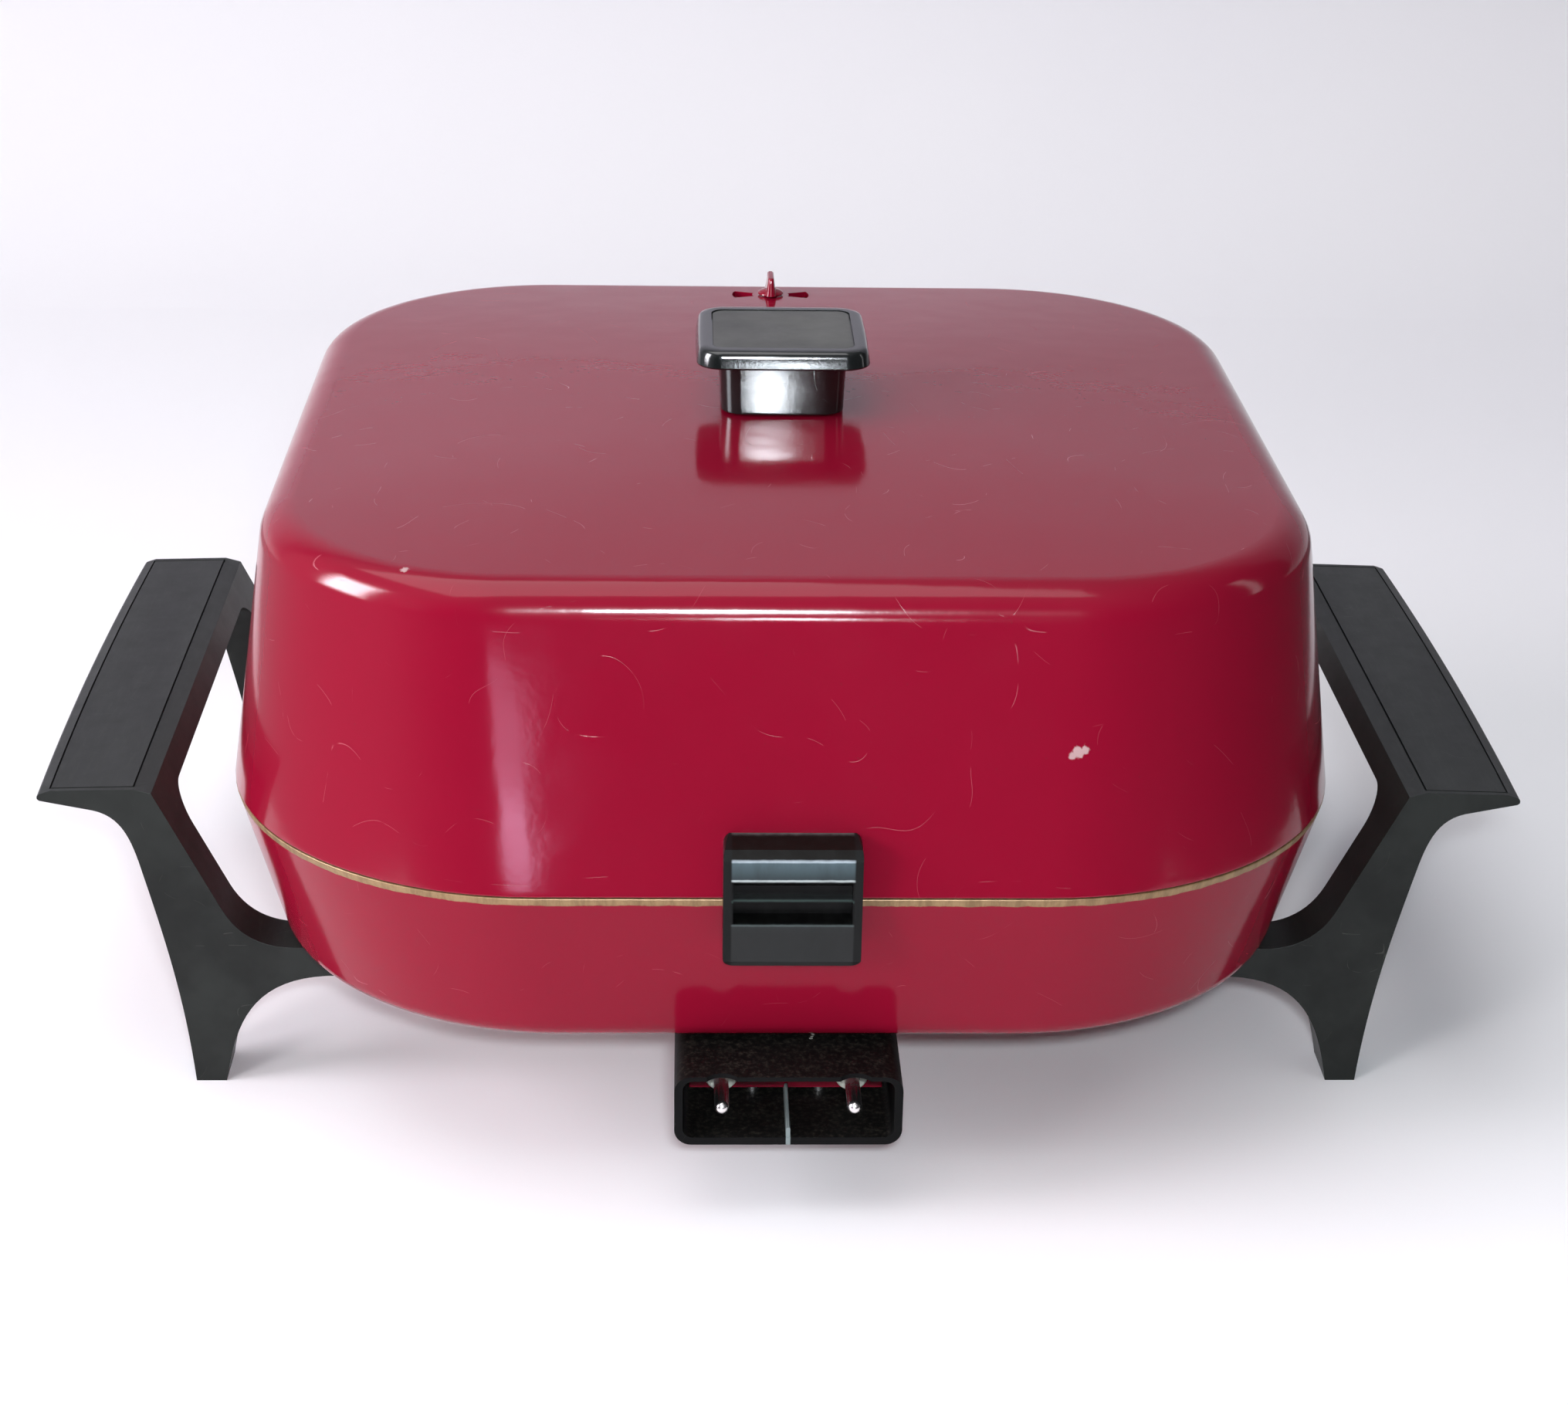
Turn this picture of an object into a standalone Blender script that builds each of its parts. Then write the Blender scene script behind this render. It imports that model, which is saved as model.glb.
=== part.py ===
"""Square electric frying pan ("griddle") with a deep domed lid, two side handles whose legs carry the pan,
and a guarded socket for a detachable heat control. Metres, +Z up, standing on Z = 0, front towards -Y."""

import math

import bmesh
import bpy
from mathutils import Matrix, Vector

# Pan
RIM_HALF = 0.153  # half the width across the rim, a 12 inch pan
RIM_CORNER = 0.087  # corner radius of the rim seen from above
RIM_Z = 0.092
PAN_BASE_Z = 0.0434  # underside of the pan's floor
PAN_BASE_HALF = 0.1411  # where the side would meet the underside if the edge were sharp
PAN_BASE_CORNER = 0.081
PAN_EDGE_RADIUS = 0.008  # round edge between side and underside
PAN_WALL = 0.0034
PAN_FLOOR = 0.004
PAN_INNER_EDGE_RADIUS = 0.006

# Lid
SEAM_GAP = 0.0003
LID_TOP_HALF = 0.1407  # where the side would meet the top if the edge were sharp
LID_TOP_CORNER = 0.069
LID_TOP_Z = 0.1724
LID_CROWN = 0.0046  # how far the middle of the top stands above its edge
LID_EDGE_RADIUS = 0.0105
LID_SHEET = 0.0018
LIP_HALF = 0.1476  # the lip that drops inside the rim
LIP_DEPTH = 0.0045
LIP_STEP_Z = (0.0945, 0.0970)  # the lid's inner face steps out from the lip to the side between these

# Handles and legs
GRIP_OUTER_X = 0.2046
GRIP_BOW = 0.0016  # how far the middle of the grip's outer edge stands beyond its ends
GRIP_INNER_X = 0.1745
GRIP_TOP_Z = 0.0924
HANDLE_HALF_Y = 0.0888
LEG_THICKNESS = 0.016
GRIP_UNDERSIDE_Z = 0.0842
GRIP_ARCH_RADIUS = 0.010  # round corners of the space between the legs
ARM_END_X = 0.112
ARM_UNDERSIDE_Z = 0.0341
ARM_SCREW_X = 0.120
HANDLE_SHANK_RADIUS = 0.0021
HANDLE_SCREW_Z = 0.0371  # underside of the screw's head
HANDLE_SCREW_TOP_Z = 0.0456
HANDLE_HEAD_RADIUS = 0.0042

# Knob
POST_WIDTH = 0.037
POST_CORNER = 0.006
POST_TAPER = 0.0006
POST_Z = (0.1773, 0.1921)
KNOB_HOLE_RADIUS = 0.0027
KNOB_HOLE_DEPTH = 0.0098
KNOB_WASHER_RADIUS = 0.0065
KNOB_SHANK_RADIUS = 0.0023
CAP_SIZE = (0.050, 0.049)
CAP_CORNER = 0.0065
CAP_Z = (0.1924, 0.1980)
INSERT_SIZE = (0.040, 0.038)
INSERT_CORNER = 0.0035
INSERT_DEPTH = 0.0012

# Steam vent
VENT_Y = 0.121
VENT_HOLE_RADII = (0.006, 0.0126)
VENT_HOLE_ANGLE = math.radians(44)
VENT_SHAFT_RADIUS = 0.0022
VENT_SHAFT_END = (0.1670, 0.1682)  # heights of the swaged end under the shutter
VENT_SHAFT_END_RADIUS = 0.0034
VENT_WASHER_RADIUS = 0.0050
VENT_WASHER_Z = (0.1685, 0.1691)
SHUTTER_Z = (0.1694, 0.1702)
SHUTTER_HUB_RADIUS = 0.0062
SHUTTER_MARGIN = 0.09  # radians that a wing covers beyond its hole on each side
LEVER_BASE_Z = 0.1740
LEVER_BASE_RADIUS = 0.0042
LEVER_TOP_Z = 0.1803
FIN_ROOT = (0.0016, 0.0065)  # half thickness and half length
FIN_TIP = (0.0009, 0.0050)

# Lid bracket
BRACKET_FRONT = 0.1603
BRACKET_WIDTH = 0.0354
BRACKET_Z = (0.076, 0.1100)
BRACKET_CORNER = 0.0028
BRACKET_CHEEK = 0.0025
BRACKET_SHOULDER_Z = 0.1065
BRACKET_TOP_SLOPE = 0.0022
UPPER_GROOVE_Z = (0.0956, 0.1011)
UPPER_GROOVE_DEPTH = 0.0030
LOWER_GROOVE_Z = (0.0884, 0.0946)
LOWER_GROOVE_DEPTH = 0.0042
GROOVE_RIDGE_SETBACK = 0.0008  # the ridge between the grooves stands this far behind the front
BRACKET_SCREW_X = 0.009
BRACKET_SCREW_Z = 0.104
BRACKET_SHANK_RADIUS = 0.0015
BRACKET_SHANK_LENGTH = 0.0080

# Socket for the heat control
PIN_X = 0.0175  # 1 3/8 inch between the pins
PIN_Z = 0.0318
PIN_RADIUS = 0.0020
PIN_TIP_Y = -0.1572
SHEATH_END_Y = -0.1187
CLEARANCE = 0.0003  # between parts that touch in the real object
GUARD_FRONT_Y = -0.159
GUARD_TOP_REAR_Y = -0.1304  # the guard's top stops here, in front of the casting
GUARD_REAR_Y = -0.112
GUARD_HALF_X = 0.030
GUARD_Z = (0.0225, 0.0430)
GUARD_CORNER = 0.0045
GUARD_SKIN = 0.0022
GUARD_TOP_SKIN = 0.0013
NOTCH_RADIUS = 0.0050  # the round notch over each pin in the guard's front edge
NOTCH_DEPTH = 0.0020
RIB_WIDTH = 0.0011
RIB_HEIGHT = 0.0029
BOSS_HALF_X = 0.026
BOSS_FRONT_Y = -0.136
BOSS_NECK_Y = -0.1300  # above the guard's top the casting is set back to here
BOSS_REAR_Y = -0.112
BOSS_Z = (0.0262, 0.0412)
BOSS_HOLE_RADIUS = 0.0045
COLLAR_RADIUS = 0.0044
COLLAR_FRONT_Y = -0.1397
PROBE_Z = 0.0355
PROBE_BORE = 0.0034
PROBE_RADIUS = 0.0046
PROBE_Y = (-0.137, -0.062)
PROBE_PAD_HALF = 0.006
GUARD_SCREW_PLACE = (0.009, -0.1342)
GUARD_SCREW_TOP_Z = 0.0340
GUARD_SHANK_RADIUS = 0.0014

# Heating element
ELEMENT_HALF = 0.088
ELEMENT_CORNER = 0.040
ELEMENT_Z = 0.0390
ELEMENT_RADIUS = 0.004
ELEMENT_BEND = 0.010  # radius of the bend where each end turns towards the socket
ELEMENT_RISE_Y = (-0.109, -0.098)  # the ends rise from the pins to the loop between these

# The object's box is centred on Y = 0, so the pan's middle stands a little behind it.
PAN_CENTRE_Y = (BRACKET_FRONT - RIM_HALF) / 2

OVERLAP = 0.001  # how far a joined or cutting shape runs past the face it meets
CORNER_STEPS = 8
ROUND_SIDES = 20


# Scene and materials


def clear_scene():
    for obj in list(bpy.data.objects):
        bpy.data.objects.remove(obj)


def make_material(name, colour, roughness, metallic):
    material = bpy.data.materials.new(name)
    material.use_nodes = True
    shader = material.node_tree.nodes["Principled BSDF"]
    shader.inputs["Base Color"].default_value = (*colour, 1)
    shader.inputs["Roughness"].default_value = roughness
    shader.inputs["Metallic"].default_value = metallic
    return material


def make_materials():
    return {
        "red_paint": make_material("red_paint", (0.38, 0.003, 0.022), 0.22, 0.0),
        "phenolic": make_material("phenolic", (0.020, 0.022, 0.021), 0.38, 0.0),
        "steel": make_material("steel", (0.60, 0.60, 0.58), 0.30, 1.0),
        "element": make_material("element", (0.30, 0.28, 0.26), 0.50, 1.0),
        "aluminium": make_material("aluminium", (0.70, 0.70, 0.71), 0.40, 1.0),
        "ceramic": make_material("ceramic", (0.78, 0.74, 0.66), 0.55, 0.0),
    }


def make_empty(name, location, parent=None):
    empty = bpy.data.objects.new(name, None)
    empty.location = location
    empty.parent = parent
    bpy.context.scene.collection.objects.link(empty)
    return empty


def make_object(name, bm, material, parent, origin=(0, 0, 0)):
    """A mesh object, with its origin at the point given, from bm's points in the pan's frame."""
    bmesh.ops.translate(bm, verts=bm.verts, vec=-Vector(origin))
    bmesh.ops.recalc_face_normals(bm, faces=bm.faces)
    mesh = bpy.data.meshes.new(name)
    bm.to_mesh(mesh)
    bm.free()
    mesh.shade_smooth()
    mesh.set_sharp_from_angle(angle=math.radians(35))
    obj = bpy.data.objects.new(name, mesh)
    obj.location = Vector(origin) - parent_offset(parent)
    obj.parent = parent
    if material:
        mesh.materials.append(material)
    bpy.context.scene.collection.objects.link(obj)
    return obj


def parent_offset(parent):
    """Where a parent empty stands in the pan's frame: the frame's own empty stands at its origin."""
    return parent.location if parent.parent else Vector((0, 0, 0))


def boolean(target, name, bm, operation, parent):
    """Cuts the shape in bm from the target, or joins it on."""
    other = make_object(name, bm, None, parent)
    other.hide_render = True
    other.display_type = "WIRE"
    modifier = target.modifiers.new(name, "BOOLEAN")
    modifier.operation = operation
    modifier.object = other
    modifier.solver = "EXACT"


# Outlines


def rounded_rectangle(half_x, half_y, radius, z, steps=CORNER_STEPS):
    """A ring of points round a rectangle with round corners, counter-clockwise from above."""
    points = []
    for quarter in range(4):
        sign_x = 1 if quarter in (0, 3) else -1
        sign_y = 1 if quarter in (0, 1) else -1
        for step in range(steps + 1):
            angle = (quarter + step / steps) * math.pi / 2
            x = sign_x * (half_x - radius) + radius * math.cos(angle)
            y = sign_y * (half_y - radius) + radius * math.sin(angle)
            points.append((x, y, z))
    return points


def fillet(corner, before, after, radius, steps):
    """The arc that rounds the corner of before-corner-after, as steps + 1 points in two dimensions."""
    corner = Vector(corner)
    to_before = (Vector(before) - corner).normalized()
    to_after = (Vector(after) - corner).normalized()
    half_angle = to_before.angle(to_after) / 2
    centre = corner + (to_before + to_after).normalized() * radius / math.sin(half_angle)
    start = corner + to_before * radius / math.tan(half_angle) - centre
    end = corner + to_after * radius / math.tan(half_angle) - centre
    turn = math.atan2(start.x * end.y - start.y * end.x, start.dot(end))
    return [centre + Matrix.Rotation(turn * step / steps, 2) @ start for step in range(steps + 1)]


def bezier(start, start_handle, end_handle, end, steps):
    """Points along a cubic curve, without its first point."""
    points = []
    for step in range(1, steps + 1):
        t = step / steps
        weights = ((1 - t) ** 3, 3 * t * (1 - t) ** 2, 3 * t * t * (1 - t), t**3)
        corners = (start, start_handle, end_handle, end)
        x = sum(weight * point[0] for weight, point in zip(weights, corners))
        z = sum(weight * point[1] for weight, point in zip(weights, corners))
        points.append((x, z))
    return points


# Solids


def loft(rings):
    """A closed body through rings of equal length, flat at its first and last ring."""
    bm = bmesh.new()
    loops = [[bm.verts.new(point) for point in ring] for ring in rings]
    for lower, upper in zip(loops, loops[1:]):
        for index in range(len(lower)):
            follower = (index + 1) % len(lower)
            bm.faces.new((lower[index], lower[follower], upper[follower], upper[index]))
    bm.faces.new(loops[0])
    bm.faces.new(loops[-1])
    bmesh.ops.triangulate(bm, faces=bm.faces)
    return bm


def add_box(bm, low, high):
    low = Vector(low)
    high = Vector(high)
    centre = Matrix.Translation((low + high) / 2)
    size = Matrix.Diagonal((*(high - low), 1))
    bmesh.ops.create_cube(bm, size=1, matrix=centre @ size)
    return bm


def add_turned(bm, profile, origin, axis, sides=ROUND_SIDES):
    """A turned body from (radius, distance along the axis) points: a ring if no point has radius 0."""
    turn = Vector((0, 0, 1)).rotation_difference(Vector(axis))
    place = Matrix.Translation(origin) @ turn.to_matrix().to_4x4()
    loops = []
    for radius, along in profile:
        count = sides if radius > 0 else 1
        angles = [2 * math.pi * index / sides for index in range(count)]
        places = [(radius * math.cos(angle), radius * math.sin(angle), along) for angle in angles]
        loops.append([bm.verts.new(place @ Vector(point)) for point in places])
    pairs = list(zip(loops, loops[1:]))
    if len(loops[0]) > 1:
        pairs.append((loops[-1], loops[0]))
    for lower, upper in pairs:
        for index in range(sides):
            follower = (index + 1) % sides
            corners = [lower[index % len(lower)], lower[follower % len(lower)]]
            corners += [upper[follower % len(upper)], upper[index % len(upper)]]
            bm.faces.new(list(dict.fromkeys(corners)))
    return bm


def add_rod(bm, radius, origin, axis, length, sides=ROUND_SIDES):
    return add_turned(bm, [(0, 0), (radius, 0), (radius, length), (0, length)], origin, axis, sides)


def extrude_outline(outline, place, length, steps=1):
    """A prism: place(u, v, along) turns an outline point (u, v) and a distance into a point in space."""
    rings = []
    for step in range(steps + 1):
        along = length * (step / steps - 0.5)
        rings.append([place(u, v, along) for u, v in outline])
    return loft(rings)


def slotted_screw(name, head_radius, head_height, shank_radius, shank_length):
    """A mesh with the head's underside at the origin and the shank along +Z. The head's face has a slot."""
    bm = bmesh.new()
    edge = head_height * 0.35
    profile = [(0, -head_height), (head_radius - edge, -head_height), (head_radius, edge - head_height)]
    profile += [(head_radius, 0), (shank_radius, 0), (shank_radius, shank_length), (0, shank_length)]
    add_turned(bm, profile, (0, 0, 0), (0, 0, 1))
    slot_half = head_height * 0.22
    slot = add_box(bmesh.new(), (-0.02, -slot_half, -0.02), (0.02, slot_half, -head_height * 0.55))
    holder = make_empty(name + "_holder", (0, 0, 0))
    screw = make_object(name + "_blank", bm, None, holder)
    boolean(screw, name + "_slot", slot, "DIFFERENCE", holder)
    bpy.context.view_layer.update()
    evaluated = screw.evaluated_get(bpy.context.evaluated_depsgraph_get())
    mesh = bpy.data.meshes.new_from_object(evaluated)
    mesh.name = name
    for helper in (bpy.data.objects[name + "_slot"], screw, holder):
        bpy.data.objects.remove(helper)
    return mesh


def place_screw(name, mesh, origin, axis, parent):
    screw = bpy.data.objects.new(name, mesh)
    screw.location = Vector(origin) - parent_offset(parent)
    screw.rotation_mode = "QUATERNION"
    screw.rotation_quaternion = Vector((0, 0, 1)).rotation_difference(Vector(axis))
    screw.parent = parent
    bpy.context.scene.collection.objects.link(screw)
    return screw


# Pan


def pan_outer_profile():
    """(half width, corner radius, height) from the underside to the rim."""
    corner = (PAN_BASE_HALF, PAN_BASE_Z)
    arc = fillet(corner, (0, PAN_BASE_Z), (RIM_HALF, RIM_Z), PAN_EDGE_RADIUS, 4)
    share = (arc[-1].y - PAN_BASE_Z) / (RIM_Z - PAN_BASE_Z)
    radius = PAN_BASE_CORNER + share * (RIM_CORNER - PAN_BASE_CORNER)
    rings = [(point.x, radius + point.x - arc[-1].x, point.y) for point in arc]
    return rings + [(RIM_HALF, RIM_CORNER, RIM_Z)]


def pan_inner_profile():
    """(half width, corner radius, height) from the rim down to the floor."""
    floor_z = PAN_BASE_Z + PAN_FLOOR
    slope = (RIM_HALF - PAN_BASE_HALF) / (RIM_Z - PAN_BASE_Z)
    floor_half = PAN_BASE_HALF + PAN_FLOOR * slope - PAN_WALL
    rim_half = RIM_HALF - PAN_WALL
    arc = fillet((floor_half, floor_z), (rim_half, RIM_Z), (0, floor_z), PAN_INNER_EDGE_RADIUS, 4)
    share = (arc[0].y - PAN_BASE_Z) / (RIM_Z - PAN_BASE_Z)
    radius = PAN_BASE_CORNER + share * (RIM_CORNER - PAN_BASE_CORNER) - PAN_WALL
    rings = [(point.x, radius + point.x - arc[0].x, point.y) for point in arc]
    return [(rim_half, RIM_CORNER - PAN_WALL, RIM_Z)] + rings


def make_pan(parent, material):
    profile = pan_outer_profile() + pan_inner_profile()
    pan = make_object("pan_shell", square_loft(profile), material, parent)
    for name, block in zip(("terminal_boss", "terminal_boss_front"), terminal_boss()):
        boolean(pan, name, block, "UNION", parent)
    pad_low = (-PROBE_PAD_HALF, BOSS_REAR_Y - OVERLAP, PROBE_Z + PROBE_RADIUS + CLEARANCE)
    pad = add_box(bmesh.new(), pad_low, (PROBE_PAD_HALF, PROBE_Y[1], PAN_BASE_Z + OVERLAP))
    boolean(pan, "sensor_pad", pad, "UNION", parent)
    boolean(pan, "pan_holes", pan_hole_cutters(), "DIFFERENCE", parent)
    return pan


def terminal_boss():
    """The casting under the floor that carries the pins, and its lower front part under the guard's top."""
    half = BOSS_HALF_X
    low, shoulder = BOSS_Z
    neck = add_box(bmesh.new(), (-half, BOSS_NECK_Y, low), (half, BOSS_REAR_Y, PAN_BASE_Z + OVERLAP))
    front = add_box(bmesh.new(), (-half, BOSS_FRONT_Y, low), (half, BOSS_NECK_Y + OVERLAP, shoulder))
    return neck, front


def square_loft(profile):
    return loft([rounded_rectangle(half, half, radius, z) for half, radius, z in profile])


def pan_hole_cutters():
    bm = bmesh.new()
    start = BOSS_FRONT_Y - OVERLAP
    depth = BOSS_REAR_Y + OVERLAP - start
    probe_hole = PROBE_RADIUS + CLEARANCE
    add_rod(bm, probe_hole, (0, start, PROBE_Z), (0, 1, 0), depth)
    for side in (-1, 1):
        add_rod(bm, BOSS_HOLE_RADIUS, (side * PIN_X, start, PIN_Z), (0, 1, 0), depth)
        x, y = GUARD_SCREW_PLACE
        bottom = BOSS_Z[0] - OVERLAP
        height = GUARD_SCREW_TOP_Z + 2 * CLEARANCE - bottom
        add_rod(bm, GUARD_SHANK_RADIUS + CLEARANCE, (side * x, y, bottom), (0, 0, 1), height, 12)
    for x, y in handle_screw_places():
        bottom = PAN_BASE_Z - OVERLAP
        height = HANDLE_SCREW_TOP_Z + CLEARANCE - bottom
        add_rod(bm, HANDLE_SHANK_RADIUS + CLEARANCE, (x, y, bottom), (0, 0, 1), height, 12)
    return bm


def handle_screw_places():
    y = HANDLE_HALF_Y - LEG_THICKNESS / 2
    return [(side_x * ARM_SCREW_X, side_y * y) for side_x in (-1, 1) for side_y in (-1, 1)]


def make_element(parent, material):
    """A sheathed tube brazed under the floor: a square loop whose ends reach the socket at the front."""
    half = ELEMENT_HALF
    corner = ELEMENT_CORNER
    bend = ELEMENT_BEND
    rise_start, rise_end = ELEMENT_RISE_Y
    middle = ((rise_start + rise_end) / 2, PIN_Z + (ELEMENT_Z - PIN_Z) * 0.35)
    ends = [(SHEATH_END_Y, PIN_Z), (rise_start, PIN_Z), middle, (rise_end, ELEMENT_Z)]
    path = [Vector((PIN_X, y, z)) for y, z in ends]
    for step in range(1, 4):
        angle = math.pi - step * math.pi / 6
        x = PIN_X + bend + bend * math.cos(angle)
        y = -half - bend + bend * math.sin(angle)
        path.append(Vector((x, y, ELEMENT_Z)))
    for turn in range(2):
        for step in range(6):
            angle = -math.pi / 2 + turn * math.pi / 2 + step * math.pi / 10
            x = half - corner + corner * math.cos(angle)
            y = (half - corner) * (2 * turn - 1) + corner * math.sin(angle)
            path.append(Vector((x, y, ELEMENT_Z)))
    path += [Vector((-point.x, point.y, point.z)) for point in reversed(path)]
    curve = bpy.data.curves.new("heating_element", "CURVE")
    curve.dimensions = "3D"
    curve.bevel_depth = ELEMENT_RADIUS
    curve.bevel_resolution = 2
    curve.use_fill_caps = True
    spline = curve.splines.new("POLY")
    spline.points.add(len(path) - 1)
    for point, place in zip(spline.points, path):
        point.co = (*place, 1)
    element = bpy.data.objects.new("heating_element", curve)
    element.parent = parent
    curve.materials.append(material)
    bpy.context.scene.collection.objects.link(element)
    return element


# Socket


def guard_ring(inset, low, high, y):
    """The guard's end view, this far inside its outer sides and between these heights."""
    half_z = (high - low) / 2
    corner = GUARD_CORNER - inset * 0.8
    outline = rounded_rectangle(GUARD_HALF_X - inset, half_z, corner, 0, 3)
    return [(x, y, (low + high) / 2 + z) for x, z, _ in outline]


def make_guard(parent, material):
    """A shroud, open to the front, whose floor and sides run back past the casting that carries the pins."""
    low, high = GUARD_Z
    floor = low + GUARD_SKIN
    rings = [guard_ring(0, low, high, y) for y in (GUARD_FRONT_Y, GUARD_REAR_Y)]
    guard = make_object("socket_guard", loft(rings), material, parent)
    ends = (GUARD_FRONT_Y - OVERLAP, GUARD_REAR_Y + OVERLAP)
    mouth = [guard_ring(GUARD_SKIN, floor, high - GUARD_TOP_SKIN, y) for y in ends]
    boolean(guard, "guard_mouth", loft(mouth), "DIFFERENCE", parent)
    half = GUARD_HALF_X - GUARD_SKIN
    rear_low = (-half, GUARD_TOP_REAR_Y, (low + high) / 2)
    rear = add_box(bmesh.new(), rear_low, (half, ends[1], high + OVERLAP))
    boolean(guard, "guard_rear", rear, "DIFFERENCE", parent)
    rib_low = (-RIB_WIDTH / 2, GUARD_FRONT_Y + CLEARANCE, low + OVERLAP)
    rib = add_box(bmesh.new(), rib_low, (RIB_WIDTH / 2, BOSS_FRONT_Y - CLEARANCE, floor + RIB_HEIGHT))
    boolean(guard, "guard_rib", rib, "UNION", parent)
    holes = bmesh.new()
    for side in (-1, 1):
        notch_y = GUARD_FRONT_Y + NOTCH_DEPTH - NOTCH_RADIUS
        notch = (side * PIN_X, notch_y, high - GUARD_TOP_SKIN - OVERLAP)
        add_rod(holes, NOTCH_RADIUS, notch, (0, 0, 1), GUARD_TOP_SKIN + 2 * OVERLAP, 28)
        x, y = GUARD_SCREW_PLACE
        hole = GUARD_SHANK_RADIUS + CLEARANCE
        add_rod(holes, hole, (side * x, y, low - OVERLAP), (0, 0, 1), GUARD_SKIN + 2 * OVERLAP, 12)
    boolean(guard, "guard_holes", holes, "DIFFERENCE", parent)
    return guard


def make_terminals(parent, materials):
    radius = PIN_RADIUS
    rear = SHEATH_END_Y - CLEARANCE
    bore = radius + CLEARANCE
    body = BOSS_HOLE_RADIUS - CLEARANCE
    collar_rear = BOSS_FRONT_Y - CLEARANCE
    for side, label in ((-1, "left"), (1, "right")):
        centre = (side * PIN_X, 0, PIN_Z)
        profile = []
        for angle in (0, 0.55, 1.1, math.pi / 2):
            profile.append((radius * math.sin(angle), PIN_TIP_Y + radius - radius * math.cos(angle)))
        profile += [(radius, rear), (0, rear)]
        pin = add_turned(bmesh.new(), profile, centre, (0, 1, 0), 16)
        make_object("terminal_pin_" + label, pin, materials["steel"], parent)
        profile = [(bore, COLLAR_FRONT_Y), (COLLAR_RADIUS, COLLAR_FRONT_Y), (COLLAR_RADIUS, collar_rear)]
        profile += [(body, collar_rear), (body, rear), (bore, rear)]
        insulator = add_turned(bmesh.new(), profile, centre, (0, 1, 0), 16)
        make_object("insulator_" + label, insulator, materials["ceramic"], parent)


def make_probe_well(parent, material):
    """A tube, closed at its rear end, that holds the heat control's probe against the pan's floor."""
    mouth, end = PROBE_Y
    bore = PROBE_BORE
    radius = PROBE_RADIUS
    bottom = end - 0.002
    profile = [(0, bottom), (bore, bottom), (bore, mouth), (radius, mouth), (radius, end), (0, end)]
    well = add_turned(bmesh.new(), profile, (0, 0, PROBE_Z), (0, 1, 0), 16)
    return make_object("probe_well", well, material, parent)


def make_guard_screws(parent, material):
    """The screws pass up through the guard's floor into the casting."""
    seat = GUARD_Z[0] - CLEARANCE
    mesh = slotted_screw("guard_screw", 0.0028, 0.0016, GUARD_SHANK_RADIUS, GUARD_SCREW_TOP_Z - seat)
    mesh.materials.append(material)
    x, y = GUARD_SCREW_PLACE
    for side, label in ((-1, "left"), (1, "right")):
        place_screw("guard_screw_" + label, mesh, (side * x, y, seat), (0, 0, 1), parent)


# Handles


def handle_outline():
    """The end view of a handle for +X: the arm under the pan, the grip and the leg, as (x, z) points."""
    arm_top = PAN_BASE_Z - CLEARANCE
    outer_edge = (GRIP_OUTER_X + 0.0004, GRIP_TOP_Z - 0.0036)
    outline = [(ARM_END_X, arm_top), (0.137, arm_top)]
    outline += bezier((0.137, arm_top), (0.146, arm_top), (0.1525, 0.047), (0.1565, 0.055), 4)
    outline += [(GRIP_INNER_X, GRIP_TOP_Z), (GRIP_OUTER_X, GRIP_TOP_Z - 0.0009), outer_edge, (0.190, 0.0857)]
    outline += bezier((0.190, 0.0857), (0.183, 0.084), (0.1806, 0.078), (0.1786, 0.070), 4)
    outline += bezier((0.1786, 0.070), (0.173, 0.046), (0.1688, 0.028), (0.1669, 0), 5)
    outline += [(0.1583, 0)]
    outline += bezier((0.1583, 0), (0.155, 0.018), (0.150, 0.033), (0.128, ARM_UNDERSIDE_Z), 6)
    outline += [(ARM_END_X, ARM_UNDERSIDE_Z)]
    return outline


def make_handle(name, side, parent, material):
    """One moulding: a grip between two legs, each with an arm under the pan's floor."""

    def place(x, z, along):
        outward = max(0, (x - GRIP_INNER_X) / (GRIP_OUTER_X - GRIP_INNER_X)) if z > GRIP_UNDERSIDE_Z else 0
        bow = GRIP_BOW * outward * (1 - (along / HANDLE_HALF_Y) ** 2)
        return (side * (x + bow), along, z)

    body = extrude_outline(handle_outline(), place, 2 * HANDLE_HALF_Y, 8)
    handle = make_object(name, body, material, parent)
    opening_half = HANDLE_HALF_Y - LEG_THICKNESS
    arch = [(opening_half, -OVERLAP), (opening_half, GRIP_UNDERSIDE_Z - GRIP_ARCH_RADIUS)]
    corner = (opening_half, GRIP_UNDERSIDE_Z)
    arch += fillet(corner, (opening_half, 0), (0, GRIP_UNDERSIDE_Z), GRIP_ARCH_RADIUS, 3)[1:]
    arch += [(-y, z) for y, z in reversed(arch)]
    middle = (ARM_END_X + GRIP_OUTER_X) / 2
    length = GRIP_OUTER_X - ARM_END_X + 0.02
    opening = extrude_outline(arch, lambda y, z, along: (side * (middle + along), y, z), length)
    boolean(handle, name + "_opening", opening, "DIFFERENCE", parent)
    holes = bmesh.new()
    for x, y in handle_screw_places():
        if x * side > 0:
            add_turned(holes, arm_hole_profile(), (x, y, 0), (0, 0, 1), 16)
    boolean(handle, name + "_holes", holes, "DIFFERENCE", parent)
    return handle


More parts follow.
